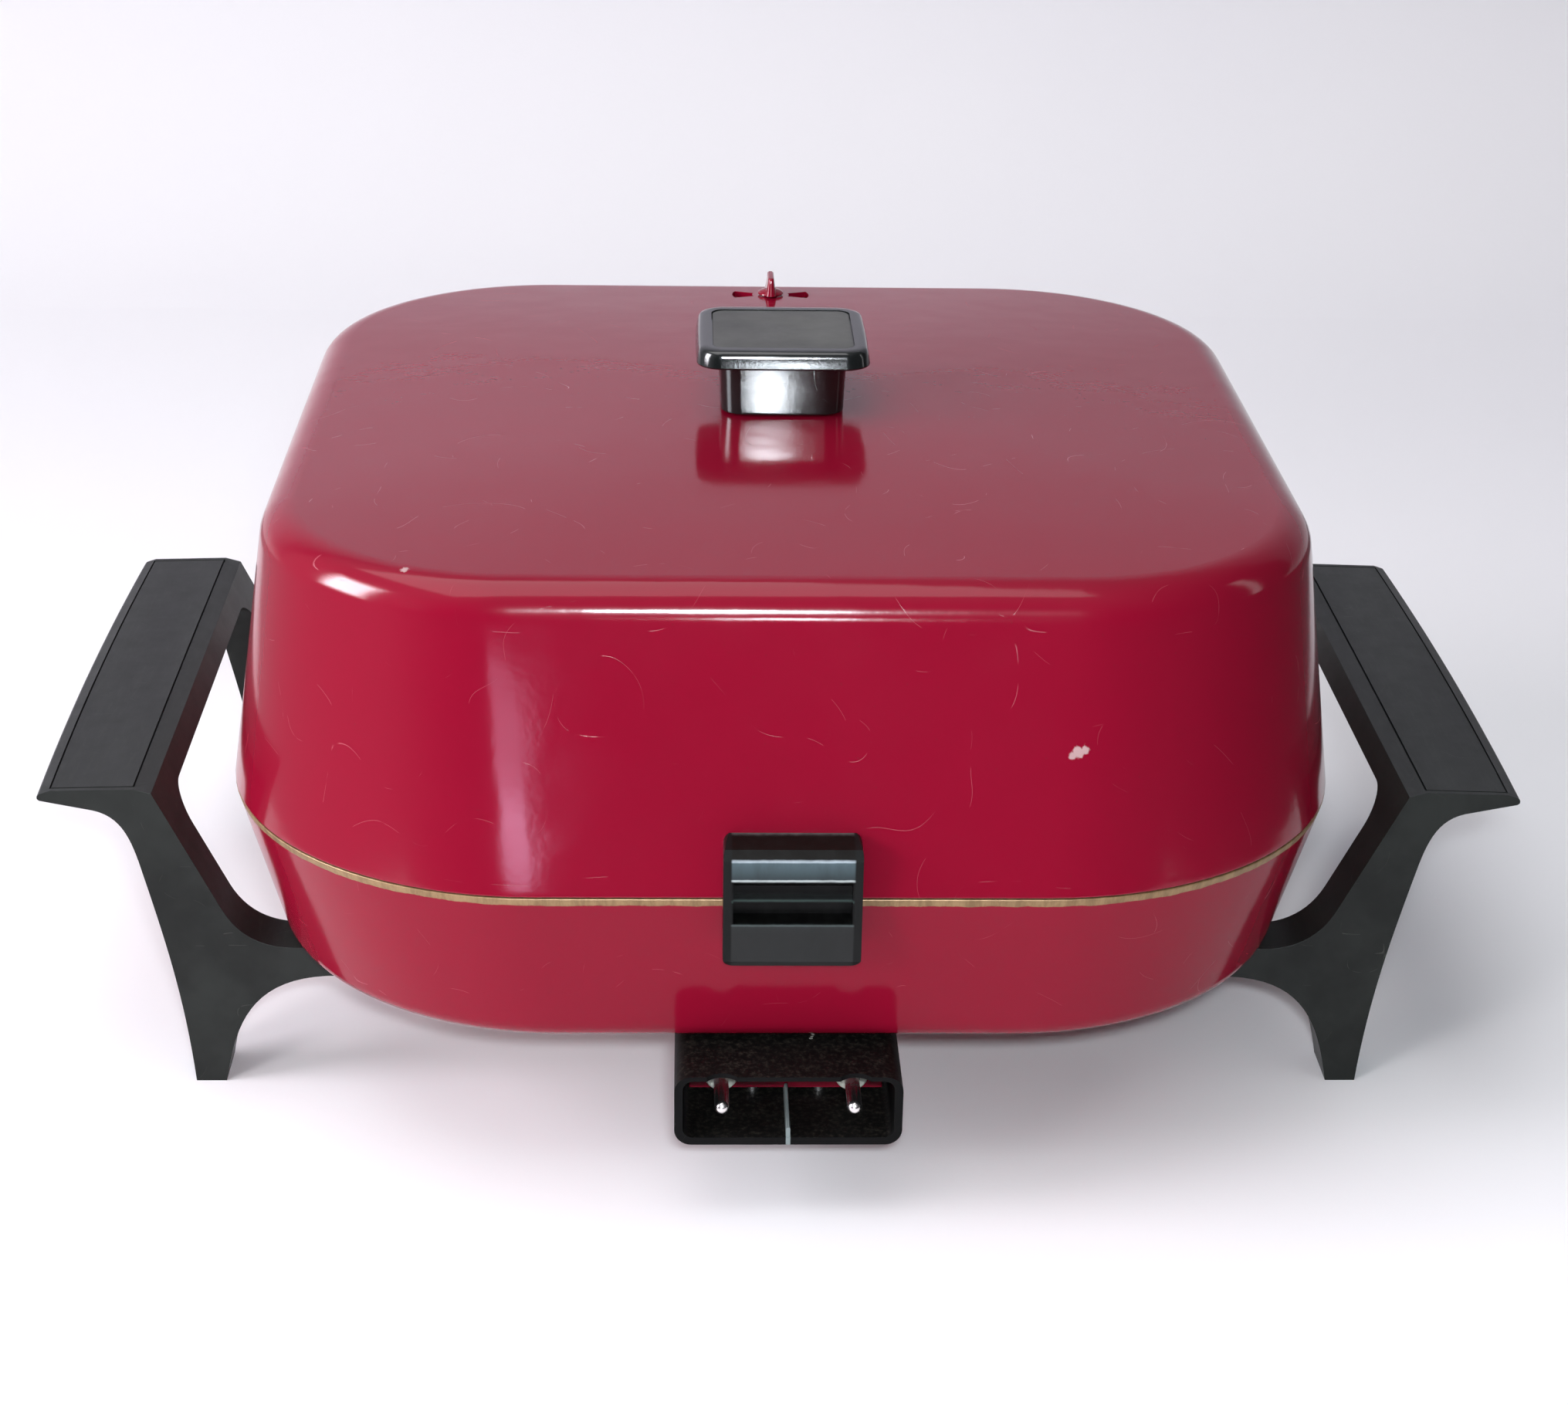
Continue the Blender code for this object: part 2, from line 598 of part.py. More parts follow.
def arm_hole_profile():
    """A counterbore for the screw's head, open below, with a clearance hole above it."""
    start = ARM_UNDERSIDE_Z - 0.004
    end = PAN_BASE_Z + OVERLAP
    seat = HANDLE_SCREW_Z + CLEARANCE
    head = HANDLE_HEAD_RADIUS + 0.0004
    shank = HANDLE_SHANK_RADIUS + 0.0005
    return [(0, start), (head, start), (head, seat), (shank, seat), (shank, end), (0, end)]


def make_handle_screws(parent, material):
    length = HANDLE_SCREW_TOP_Z - HANDLE_SCREW_Z
    mesh = slotted_screw("handle_screw", HANDLE_HEAD_RADIUS, 0.0024, HANDLE_SHANK_RADIUS, length)
    mesh.materials.append(material)
    labels = ("left_front", "left_rear", "right_front", "right_rear")
    for label, (x, y) in zip(labels, handle_screw_places()):
        place_screw("handle_screw_" + label, mesh, (x, y, HANDLE_SCREW_Z), (0, 0, 1), parent)


# Lid


def crown_z(half):
    """Height of the lid's top where its square ring has this half width."""
    return LID_TOP_Z + LID_CROWN * (1 - (half / LID_TOP_HALF) ** 2)


def lid_profile(inset, crown_halves, steps):
    """(half width, corner radius, height) from the top's middle to the seam, inset from the outer face."""
    half = LID_TOP_HALF - inset
    corner = (half, LID_TOP_Z - inset)
    seam = (RIM_HALF - inset, RIM_Z + SEAM_GAP)
    inner = (half - 0.01, crown_z(LID_TOP_HALF - 0.01) - inset)
    arc = fillet(corner, inner, seam, LID_EDGE_RADIUS - inset, steps)
    share = (arc[-1].y - seam[1]) / (corner[1] - seam[1])
    radius = RIM_CORNER + share * (LID_TOP_CORNER - RIM_CORNER) - inset
    rounded = [(point.x, radius + point.x - arc[-1].x, point.y) for point in arc]
    edge_half, edge_radius, edge_z = rounded[0]
    drop = crown_z(edge_half) - inset - edge_z
    rings = []
    for part in crown_halves:
        ring_half = part * edge_half
        rings.append((ring_half, part * edge_radius, crown_z(ring_half) - inset - drop * part**2))
    return rings + rounded + [(seam[0], RIM_CORNER - inset, seam[1])]


def lid_side(z):
    """Half width and corner radius of the lid's outer side at this height."""
    share = (z - RIM_Z - SEAM_GAP) / (LID_TOP_Z - RIM_Z - SEAM_GAP)
    half = RIM_HALF + share * (LID_TOP_HALF - RIM_HALF)
    return half, RIM_CORNER + share * (LID_TOP_CORNER - RIM_CORNER)


def make_lid(parent, material):
    outer = lid_profile(0, (0.18, 0.5, 0.8), 4)
    inner = lid_profile(LID_SHEET, (0.2, 0.6), 3)
    lip_corner = RIM_CORNER - (RIM_HALF - LIP_HALF)
    bottom = RIM_Z - LIP_DEPTH
    lip = [(LIP_HALF, lip_corner, RIM_Z + SEAM_GAP), (LIP_HALF, lip_corner, bottom)]
    lip += [(LIP_HALF - LID_SHEET, lip_corner - LID_SHEET, bottom)]
    lip += [(LIP_HALF - LID_SHEET, lip_corner - LID_SHEET, LIP_STEP_Z[0])]
    step_z = LIP_STEP_Z[1]
    half, corner = lid_side(step_z)
    lip += [(half - LID_SHEET, corner - LID_SHEET, step_z)]
    lid = make_object("lid_shell", square_loft(outer + lip + inner[-2::-1]), material, parent)
    boolean(lid, "lid_holes", lid_hole_cutters(), "DIFFERENCE", parent)
    return lid


def vent_wing(low, high, half_angle, radii, middle_angle, steps=4):
    """A sector of a ring about the vent's axis, between two heights."""
    outline = []
    for radius, order in ((radii[0], 1), (radii[1], -1)):
        for step in range(steps + 1):
            angle = middle_angle + order * half_angle * (2 * step / steps - 1)
            outline.append((radius * math.cos(angle), VENT_Y + radius * math.sin(angle)))
    return [[(x, y, z) for x, y in outline] for z in (low, high)]


def lid_hole_cutters():
    bm = bmesh.new()
    top = crown_z(0) + OVERLAP
    depth = 0.012
    add_rod(bm, KNOB_HOLE_RADIUS, (0, 0, top - depth), (0, 0, 1), depth, 12)
    add_rod(bm, VENT_SHAFT_RADIUS + CLEARANCE, (0, VENT_Y, top - depth), (0, 0, 1), depth, 16)
    for side in (-1, 1):
        place = (side * BRACKET_SCREW_X, 0.005 - RIM_HALF, BRACKET_SCREW_Z)
        add_rod(bm, BRACKET_SHANK_RADIUS + 0.0004, place, (0, -1, 0), 0.008, 12)
    for middle in (0, math.pi):
        wing = loft(vent_wing(top - depth, top, VENT_HOLE_ANGLE / 2, VENT_HOLE_RADII, middle))
        mesh = bpy.data.meshes.new("vent_hole")
        wing.to_mesh(mesh)
        wing.free()
        bm.from_mesh(mesh)
    return bm


def make_vent(parent, materials):
    """The lever on the lid turns a two-winged shutter under it, over the two holes."""
    make_vent_lever(parent, materials["red_paint"])
    axis = (0, VENT_Y, 0)
    bore = VENT_SHAFT_RADIUS + CLEARANCE
    low, high = SHUTTER_Z
    disc = [(bore, low), (SHUTTER_HUB_RADIUS, low), (SHUTTER_HUB_RADIUS, high), (bore, high)]
    shutter = add_turned(bmesh.new(), disc, axis, (0, 0, 1))
    shutter = make_object("vent_shutter", shutter, materials["red_paint"], parent, axis)
    radii = (SHUTTER_HUB_RADIUS - OVERLAP, VENT_HOLE_RADII[1] + 0.0005)
    for middle, label in ((0, "right"), (math.pi, "left")):
        wing = vent_wing(low, high, VENT_HOLE_ANGLE / 2 + SHUTTER_MARGIN, radii, middle)
        boolean(shutter, "shutter_wing_" + label, loft(wing), "UNION", parent)
    low, high = VENT_WASHER_Z
    washer = [(bore, low), (VENT_WASHER_RADIUS, low), (VENT_WASHER_RADIUS, high), (bore, high)]
    washer = add_turned(bmesh.new(), washer, axis, (0, 0, 1), 16)
    make_object("vent_washer", washer, materials["steel"], parent, axis)


def make_vent_lever(parent, material):
    axis = (0, VENT_Y, 0)
    low, high = VENT_SHAFT_END
    base = LEVER_BASE_Z
    shaft = [(0, low), (VENT_SHAFT_END_RADIUS, low), (VENT_SHAFT_END_RADIUS, high)]
    shaft += [(VENT_SHAFT_RADIUS, high), (VENT_SHAFT_RADIUS, base), (LEVER_BASE_RADIUS, base)]
    shaft += [(LEVER_BASE_RADIUS - 0.0006, base + 0.0012), (0, base + 0.0014)]
    shaft = add_turned(bmesh.new(), shaft, axis, (0, 0, 1))
    lever = make_object("vent_lever", shaft, material, parent, axis)
    root = base + 0.0005
    lower = rounded_rectangle(*FIN_ROOT, FIN_ROOT[0] - 0.0001, root, 2)
    upper = rounded_rectangle(*FIN_TIP, FIN_TIP[0] - 0.0001, LEVER_TOP_Z, 2)
    rings = [[(x, y + VENT_Y, z) for x, y, z in ring] for ring in (lower, upper)]
    boolean(lever, "lever_fin", loft(rings), "UNION", parent)


def square_rings(half_x, half_y, corner, levels, steps=3):
    """Rounded rectangles at (inset, height) levels, each this far inside the size given."""
    rings = []
    for inset, z in levels:
        rings.append(rounded_rectangle(half_x - inset, half_y - inset, corner - inset / 2, z, steps))
    return rings


def make_knob(parent, materials):
    low, high = POST_Z
    half = POST_WIDTH / 2
    rings = square_rings(half, half, POST_CORNER, [(POST_TAPER, low), (0, high)])
    post = make_object("knob_post", loft(rings), materials["phenolic"], parent)
    depth = KNOB_HOLE_DEPTH + OVERLAP
    hole = add_rod(bmesh.new(), KNOB_HOLE_RADIUS, (0, 0, low - OVERLAP), (0, 0, 1), depth, 12)
    boolean(post, "post_hole", hole, "DIFFERENCE", parent)
    low, high = CAP_Z
    half_x = CAP_SIZE[0] / 2
    half_y = CAP_SIZE[1] / 2
    levels = [(0.0008, low), (0, low + 0.0012), (0.0006, high - 0.0022), (0.0036, high)]
    cap = loft(square_rings(half_x, half_y, CAP_CORNER, levels, 4))
    cap = make_object("knob_cap", cap, materials["phenolic"], parent)
    half_x = INSERT_SIZE[0] / 2
    half_y = INSERT_SIZE[1] / 2
    seat = high - INSERT_DEPTH
    recess = square_rings(half_x, half_y, INSERT_CORNER, [(0, seat), (0, high + OVERLAP)])
    boolean(cap, "cap_recess", loft(recess), "DIFFERENCE", parent)
    gap = CLEARANCE
    plate = square_rings(half_x, half_y, INSERT_CORNER, [(gap, seat + gap), (gap, high - 0.0002)])
    make_object("knob_insert", loft(plate), materials["phenolic"], parent)


def make_knob_fixing(parent, material):
    """A screw and washer under the lid's top draw the knob's post down."""
    inside = crown_z(0) - LID_SHEET
    top = inside - CLEARANCE
    bottom = top - 0.001
    radius = KNOB_WASHER_RADIUS
    washer = [(KNOB_HOLE_RADIUS, bottom), (radius, bottom), (radius, top), (KNOB_HOLE_RADIUS, top)]
    washer = add_turned(bmesh.new(), washer, (0, 0, 0), (0, 0, 1))
    make_object("knob_washer", washer, material, parent)
    mesh = slotted_screw("knob_screw_mesh", 0.0046, 0.0026, KNOB_SHANK_RADIUS, 0.0128)
    mesh.materials.append(material)
    place_screw("knob_screw", mesh, (0, 0, bottom - CLEARANCE), (0, 0, 1), parent)


def make_bracket(parent, material):
    """The lid's front bracket: a grooved block that reaches down over the outside of the pan's rim."""
    low, high = BRACKET_Z
    wall_top, _ = lid_side(high)
    back = RIM_HALF + 0.0005
    front = -BRACKET_FRONT
    outline = [(-back, low - OVERLAP), (-back, RIM_Z + SEAM_GAP), (-wall_top - 0.0005, high)]
    outline += [(front + BRACKET_TOP_SLOPE, BRACKET_SHOULDER_Z + 0.0023), (front, BRACKET_SHOULDER_Z)]
    outline += [(front, low + 0.002), (front + 0.00225, low - OVERLAP)]
    block = extrude_outline(outline, lambda y, z, along: (along, y, z), BRACKET_WIDTH + 2 * OVERLAP)
    bracket = make_object("tilt_bracket", block, material, parent)
    boolean(bracket, "bracket_face", bracket_face(low, high + 0.0003), "INTERSECT", parent)
    grooves = {"upper": upper_groove(front), "lower": lower_groove(front), "ridge": ridge_groove(front)}
    for label, groove in grooves.items():
        length = BRACKET_WIDTH - 2 * BRACKET_CHEEK
        prism = extrude_outline(groove, lambda y, z, along: (along, y, z), length)
        boolean(bracket, label + "_groove", prism, "DIFFERENCE", parent)
    holes = bmesh.new()
    for side in (-1, 1):
        origin = (side * BRACKET_SCREW_X, 0.005 - RIM_HALF, BRACKET_SCREW_Z)
        add_rod(holes, BRACKET_SHANK_RADIUS + 0.0004, origin, (0, -1, 0), BRACKET_SHANK_LENGTH + 0.001, 12)
    boolean(bracket, "bracket_holes", holes, "DIFFERENCE", parent)
    return bracket


def bracket_face(low, high):
    """The bracket's outline from the front, with round corners, through its whole depth."""
    ring = rounded_rectangle(BRACKET_WIDTH / 2, (high - low) / 2, BRACKET_CORNER, 0, 6)
    outline = [(x, z + (low + high) / 2) for x, z, _ in ring]
    return extrude_outline(outline, lambda x, z, along: (x, along - BRACKET_FRONT, z), 0.040)


def upper_groove(front):
    low, high = UPPER_GROOVE_Z
    bottom = front + UPPER_GROOVE_DEPTH
    return [(front - OVERLAP, high), (bottom, high - 0.0028), (bottom, low), (front - OVERLAP, low)]


def lower_groove(front):
    low, high = LOWER_GROOVE_Z
    bottom = front + LOWER_GROOVE_DEPTH
    return [(front - OVERLAP, high), (bottom, high - 0.0005), (bottom, low + 0.0014), (front - OVERLAP, low)]


def ridge_groove(front):
    bottom = front + GROOVE_RIDGE_SETBACK
    low = LOWER_GROOVE_Z[1] - OVERLAP
    high = UPPER_GROOVE_Z[0] + OVERLAP
    return [(front - OVERLAP, high), (bottom, high), (bottom, low), (front - OVERLAP, low)]


def make_bracket_screws(parent, material):
    """The screws pass out through the lid's side into the bracket."""
    mesh = slotted_screw("bracket_screw", 0.0032, 0.0018, BRACKET_SHANK_RADIUS, BRACKET_SHANK_LENGTH)
    mesh.materials.append(material)
    for side, label in ((-1, "left"), (1, "right")):
        origin = (side * BRACKET_SCREW_X, 0.0046 - RIM_HALF, BRACKET_SCREW_Z)
        place_screw("bracket_screw_" + label, mesh, origin, (0, -1, 0), parent)


def main():
    clear_scene()
    materials = make_materials()
    frame = make_empty("frame", (0, PAN_CENTRE_Y, 0))
    make_pan(frame, materials["red_paint"])
    make_element(frame, materials["element"])
    make_guard(frame, materials["phenolic"])
    make_terminals(frame, materials)
    make_probe_well(frame, materials["aluminium"])
    make_guard_screws(frame, materials["steel"])
    for name, side in (("handle_left", -1), ("handle_right", 1)):
        make_handle(name, side, frame, materials["phenolic"])
    make_handle_screws(frame, materials["steel"])
    lid = make_empty("lid_axis", (0, 0, RIM_Z), frame)
    make_lid(lid, materials["red_paint"])
    make_knob(lid, materials)
    make_knob_fixing(lid, materials["steel"])
    make_bracket(lid, materials["phenolic"])
    make_bracket_screws(lid, materials["steel"])
    make_vent(lid, materials)


main()
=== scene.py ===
import math

import bmesh
import bpy
from mathutils import Matrix, Vector


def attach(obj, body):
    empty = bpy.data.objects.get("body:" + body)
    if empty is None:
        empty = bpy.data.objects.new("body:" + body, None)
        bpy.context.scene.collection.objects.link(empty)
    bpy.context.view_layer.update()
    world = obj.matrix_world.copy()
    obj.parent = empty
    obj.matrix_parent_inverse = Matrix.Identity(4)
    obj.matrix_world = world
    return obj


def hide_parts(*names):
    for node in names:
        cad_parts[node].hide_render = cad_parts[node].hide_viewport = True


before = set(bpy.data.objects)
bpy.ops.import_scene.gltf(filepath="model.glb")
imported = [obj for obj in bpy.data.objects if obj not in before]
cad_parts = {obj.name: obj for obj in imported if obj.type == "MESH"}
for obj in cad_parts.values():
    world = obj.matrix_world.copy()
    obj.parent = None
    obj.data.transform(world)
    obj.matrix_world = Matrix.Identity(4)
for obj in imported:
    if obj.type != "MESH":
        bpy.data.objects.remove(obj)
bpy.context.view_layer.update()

# Lengths are in metres, in the pan's frame, whose middle stands this far behind the row's.
PAN_CENTRE_Y = 0.00365

# Pan
RIM_HALF = 0.153
RIM_CORNER = 0.087
RIM_Z = 0.092
PAN_BASE_Z = 0.0434
PAN_BASE_HALF = 0.1411
PAN_BASE_CORNER = 0.081
PAN_WALL = 0.0034
PAN_FLOOR = 0.004
SEAM_GAP = 0.0003

# Lid
LID_TOP_HALF = 0.1407
LID_TOP_CORNER = 0.069
LID_TOP_Z = 0.1724
LID_CROWN = 0.0046
LID_EDGE_RADIUS = 0.0105
LID_SHEET = 0.0018
LIP_HALF = 0.1476
LIP_DEPTH = 0.0045
VENT_Y = 0.121

# Bracket on the lid
BRACKET_FRONT_Y = -0.1603
BRACKET_HALF_X = 0.0177
BRACKET_CHEEK_X = 0.0152
BRACKET_Z = (0.076, 0.1100)
BRACKET_RIDGE_Z = (0.1011, 0.1065)

# Socket
PIN_X = 0.0175
PIN_Z = 0.0318
PIN_RADIUS = 0.0020
PIN_TIP_Y = -0.1572
PROBE_Z = 0.0355
GUARD_FRONT_Y = -0.159
GUARD_HALF_X = 0.030
GUARD_Z = (0.0225, 0.0430)
GUARD_SKIN = 0.0022
GUARD_TOP_SKIN = 0.0013
BOSS_HALF_X = 0.026
BOSS_Z = (0.0262, 0.0412)

# Element
ELEMENT_HALF = 0.088
ELEMENT_CORNER = 0.040
ELEMENT_RADIUS = 0.004
ELEMENT_Z = 0.0390

# Handles
HANDLE_HALF_Y = 0.0888
GRIP_INNER_X = 0.1745
GRIP_OUTER_X = 0.2046
GRIP_BOW = 0.0016
GRIP_UNDERSIDE_Z = 0.0842
HANDLE_SCREW = (0.120, 0.0808)

# Knob
KNOB_POST_HALF = 0.0185
KNOB_POST_Z = (0.1773, 0.1921)
KNOB_CAP_HALF = (0.025, 0.0245)
KNOB_CAP_Z = (0.1924, 0.1980)

CORNER_STEPS = 24

# Small marks in the finish, as (point, radius) in the row's frame
GUARD_MARKS = [((0.0064 + 0.0003 * k, -0.1352 + 0.00103 * k, 0.0430), 0.0005) for k in range(7)]
LID_MARKS = (
    ((-0.0981, -0.1246, 0.1720), 0.0014),
    ((-0.0663, -0.1398, 0.1729), 0.0011),
    ((0.0721, -0.1434, 0.1310), 0.0019),
    ((0.0738, -0.1433, 0.1316), 0.0013),
    ((0.0707, -0.1435, 0.1302), 0.0012),
)

# Colours of the bracket's face by height: painted highlights and painted reflections on its edges and ridge
# faces, painted shade in its grooves
BRACKET_PAINTED_LIGHT_Z = (0.086, 0.111)
BRACKET_PAINTED_LIGHT_COLOURS = (
    (0.0860, (0.020, 0.021, 0.021)),
    (0.0880, (0.022, 0.024, 0.024)),
    (0.0883, (0.070, 0.090, 0.090)),
    (0.0888, (0.001, 0.001, 0.001)),
    (0.0946, (0.001, 0.001, 0.001)),
    (0.0951, (0.030, 0.050, 0.045)),
    (0.0957, (0.002, 0.002, 0.002)),
    (0.1006, (0.001, 0.001, 0.001)),
    (0.1011, (0.50, 0.56, 0.56)),
    (0.1015, (0.030, 0.042, 0.046)),
    (0.1060, (0.075, 0.110, 0.125)),
    (0.1065, (0.40, 0.47, 0.52)),
    (0.1070, (0.005, 0.004, 0.003)),
    (0.1098, (0.003, 0.0025, 0.002)),
    (0.1100, (0.10, 0.09, 0.09)),
)

EVEN_GRAIN = (1.0, 1.0, 1.0)

# Set
REFLECTED_FLOOR_X = 0.40  # the floor beyond these lines stays out of reflections
REFLECTED_FLOOR_Y = -0.40
FLOOR_HALF_X = 2.2
FLOOR_FRONT_Y = -2.4
WALL_FOOT_Y = 0.70
WALL_CURVE = 0.45
WALL_TOP_Z = 1.9


# Outlines and solids


def rounded_rectangle(half_x, half_y, radius, z, steps=CORNER_STEPS, bow=0.0):
    """Points round a rectangle with round corners. With a bow, its sides curve in towards the corners."""
    points = []
    for quarter in range(4):
        sign_x = 1 if quarter in (0, 3) else -1
        sign_y = 1 if quarter in (0, 1) else -1
        for step in range(steps + 1):
            angle = (quarter + step / steps) * math.pi / 2
            x = sign_x * (half_x - radius) + radius * math.cos(angle)
            y = sign_y * (half_y - radius) + radius * math.sin(angle)
            points.append((x, y))
        following = (quarter + 1) % 4
        next_x = 1 if following in (0, 3) else -1
        next_y = 1 if following in (0, 1) else -1
        last = points[-1]
        first = (next_x * (half_x - radius), next_y * (half_y - radius))
        angle = following * math.pi / 2
        first = (first[0] + radius * math.cos(angle), first[1] + radius * math.sin(angle))
        for step in range(1, 8):
            share = step / 8
            points.append(tuple(a + share * (b - a) for a, b in zip(last, first)))
    curved = []
    for x, y in points:
        in_x = bow * (y / half_y) ** 2 * x / half_x
        in_y = bow * (x / half_x) ** 2 * y / half_y
        curved.append((x - in_x, y - in_y, z))
    return curved


def fillet(corner, before, after, radius, steps):
    """The arc that rounds the corner of before-corner-after, as steps + 1 points in two dimensions."""
    corner = Vector(corner)
    to_before = (Vector(before) - corner).normalized()
    to_after = (Vector(after) - corner).normalized()
    half_angle = to_before.angle(to_after) / 2
    centre = corner + (to_before + to_after).normalized() * radius / math.sin(half_angle)
    start = corner + to_before * radius / math.tan(half_angle) - centre
    end = corner + to_after * radius / math.tan(half_angle) - centre
    turn = math.atan2(start.x * end.y - start.y * end.x, start.dot(end))
    return [centre + Matrix.Rotation(turn * step / steps, 2) @ start for step in range(steps + 1)]


def bezier(start, start_handle, end_handle, end, steps):
    """Points along a cubic curve, without its start."""
    points = []
    for step in range(1, steps + 1):
        t = step / steps
        weights = ((1 - t) ** 3, 3 * t * (1 - t) ** 2, 3 * t * t * (1 - t), t**3)
        corners = (start, start_handle, end_handle, end)
        points.append(tuple(sum(w * c[k] for w, c in zip(weights, corners)) for k in (0, 1)))
    return points


def loft(rings, inner_from=None):
    """A closed body through rings of equal length. From the ring inner_from on it has the second material."""
    bm = bmesh.new()
    loops = [[bm.verts.new(point) for point in ring] for ring in rings]
    for level, (lower, upper) in enumerate(zip(loops, loops[1:])):
        for index in range(len(lower)):
            follower = (index + 1) % len(lower)
            face = bm.faces.new((lower[index], lower[follower], upper[follower], upper[index]))
            face.material_index = 1 if inner_from is not None and level >= inner_from else 0
    bm.faces.new(loops[0])
    last = bm.faces.new(loops[-1])
    last.material_index = 1 if inner_from is not None else 0
    return bm


def straight(first, last):
    """Rings along a straight side, close to both ends so that the shading stays flat between them."""
    return [tuple(a + share * (b - a) for a, b in zip(first, last)) for share in (0.02, 0.5, 0.98)]


def join(bm, other):
    """Moves the other bmesh's faces into this one."""
    mesh = bpy.data.meshes.new("joined")
    other.to_mesh(mesh)
    other.free()
    bm.from_mesh(mesh)
    bpy.data.meshes.remove(mesh)
    return bm


def add_box(bm, low, high):
    low = Vector(low)
    high = Vector(high)
    size = Matrix.Diagonal((*(high - low), 1))
    bmesh.ops.create_cube(bm, size=1, matrix=Matrix.Translation((low + high) / 2) @ size)
    return bm


def add_turned(bm, profile, origin, axis, sides=48):
    """A turned body from (radius, distance along the axis) points: a ring if no point has radius 0."""
    turn = Vector((0, 0, 1)).rotation_difference(Vector(axis))
    place = Matrix.Translation(origin) @ turn.to_matrix().to_4x4()
    loops = []
    for radius, along in profile:
        count = sides if radius > 0 else 1
        angles = [2 * math.pi * index / sides for index in range(count)]
        places = [(radius * math.cos(a), radius * math.sin(a), along) for a in angles]
        loops.append([bm.verts.new(place @ Vector(point)) for point in places])
    pairs = list(zip(loops, loops[1:]))
    if len(loops[0]) > 1:
        pairs.append((loops[-1], loops[0]))
    for lower, upper in pairs:
        for index in range(sides):
            follower = (index + 1) % sides
            corners = [lower[index % len(lower)], lower[follower % len(lower)]]
            corners += [upper[follower % len(upper)], upper[index % len(upper)]]
            bm.faces.new(list(dict.fromkeys(corners)))
    return bm


def prism(outline, place, length, steps=1):
    """A prism: place(u, v, along) turns an outline point and a distance into a point in space."""
    rings = []
    for step in range(steps + 1):
        along = length * (step / steps - 0.5)
        rings.append([place(u, v, along) for u, v in outline])
    return loft(rings)


def temporary(bm):
    """A helper object that holds this shape until a piece is finished."""
    bmesh.ops.recalc_face_normals(bm, faces=bm.faces)
    mesh = bpy.data.meshes.new("temporary")
    bm.to_mesh(mesh)
    bm.free()
    obj = bpy.data.objects.new("temporary", mesh)
    bpy.context.scene.collection.objects.link(obj)
    return obj


def add_step(base, kind, value):
    """Adds one modifier to the base and returns its helper object, if it has one."""
    if kind == "bevel":
        modifier = base.modifiers.new(kind, "BEVEL")
        modifier.width = value
        modifier.segments = 3
        modifier.limit_method = "ANGLE"
        modifier.angle_limit = math.radians(28)
        return None
    modifier = base.modifiers.new(kind, "BOOLEAN")
    modifier.operation = {"cut": "DIFFERENCE", "add": "UNION", "keep": "INTERSECT"}[kind]
    modifier.solver = "EXACT"
    modifier.object = temporary(value)
    return modifier.object


def piece(name, bm, materials, body, nodes, steps=(), angle=34):
    """A finished piece. Each step is ("cut", "add" or "keep", bmesh) or ("bevel", width)."""
    base = temporary(bm)
    helpers = [add_step(base, kind, value) for kind, value in steps]
    bpy.context.view_layer.update()
    graph = bpy.context.evaluated_depsgraph_get()
    mesh = bpy.data.meshes.new_from_object(base.evaluated_get(graph))
    for helper in filter(None, helpers + [base]):
        bpy.data.objects.remove(helper)
    mesh.name = name
    mesh.transform(Matrix.Translation((0, PAN_CENTRE_Y, 0)))
    mesh.shade_smooth()
    mesh.set_sharp_from_angle(angle=math.radians(angle))
    for material in materials:
        mesh.materials.append(material)
    obj = bpy.data.objects.new(name, mesh)
    bpy.context.scene.collection.objects.link(obj)
    bpy.context.view_layer.update()
    obj.modifiers.new("flat_shading", "WEIGHTED_NORMAL").keep_sharp = True
    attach(obj, body)
    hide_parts(*nodes)
    return obj


# Shader nodes


def node(tree, kind, inputs=None, **settings):
    """A shader node. Each input is either linked from a socket or set to a value."""
    made = tree.nodes.new("ShaderNode" + kind)
    for name, value in settings.items():
        setattr(made, name, value)
    for key, value in (inputs or {}).items():
        if isinstance(value, bpy.types.NodeSocket):
            tree.links.new(value, made.inputs[key])
        else:
            made.inputs[key].default_value = value
    return made


def calculate(tree, operation, *values):
    return node(tree, "Math", dict(enumerate(values)), operation=operation).outputs[0]


def smooth(tree, value, start, end):
    inputs = {"Value": value, "From Min": start, "From Max": end}
    return node(tree, "MapRange", inputs, interpolation_type="SMOOTHSTEP").outputs["Result"]


def between(tree, value, low, high, blur):
    """1 from low to high and 0 outside, with soft ends."""
    rise = smooth(tree, value, low - blur, low + blur)
    fall = smooth(tree, value, high + blur, high - blur)
    return calculate(tree, "MULTIPLY", rise, fall)


def scale_range(tree, value, low, high):
    """Stretches a value from 0..1 to low..high."""
    return node(tree, "MapRange", {"Value": value, "To Min": low, "To Max": high}).outputs["Result"]


def noise(tree, vector, scale, detail=2.0, rough=0.5, seed=0.0):
    if seed:
        shift = {0: vector, 1: (seed, seed * 1.7, seed * 0.6)}
        vector = node(tree, "VectorMath", shift, operation="ADD").outputs[0]
    inputs = {"Vector": vector, "Scale": scale, "Detail": detail, "Roughness": rough}
    return node(tree, "TexNoise", inputs).outputs["Fac"]


def mix(tree, factor, first, second):
    made = node(tree, "Mix", data_type="RGBA")
    for index, value in ((0, factor), (6, first), (7, second)):
        if isinstance(value, bpy.types.NodeSocket):
            tree.links.new(value, made.inputs[index])
        else:
            made.inputs[index].default_value = (*value, 1) if isinstance(value, tuple) else value
    return made.outputs[2]


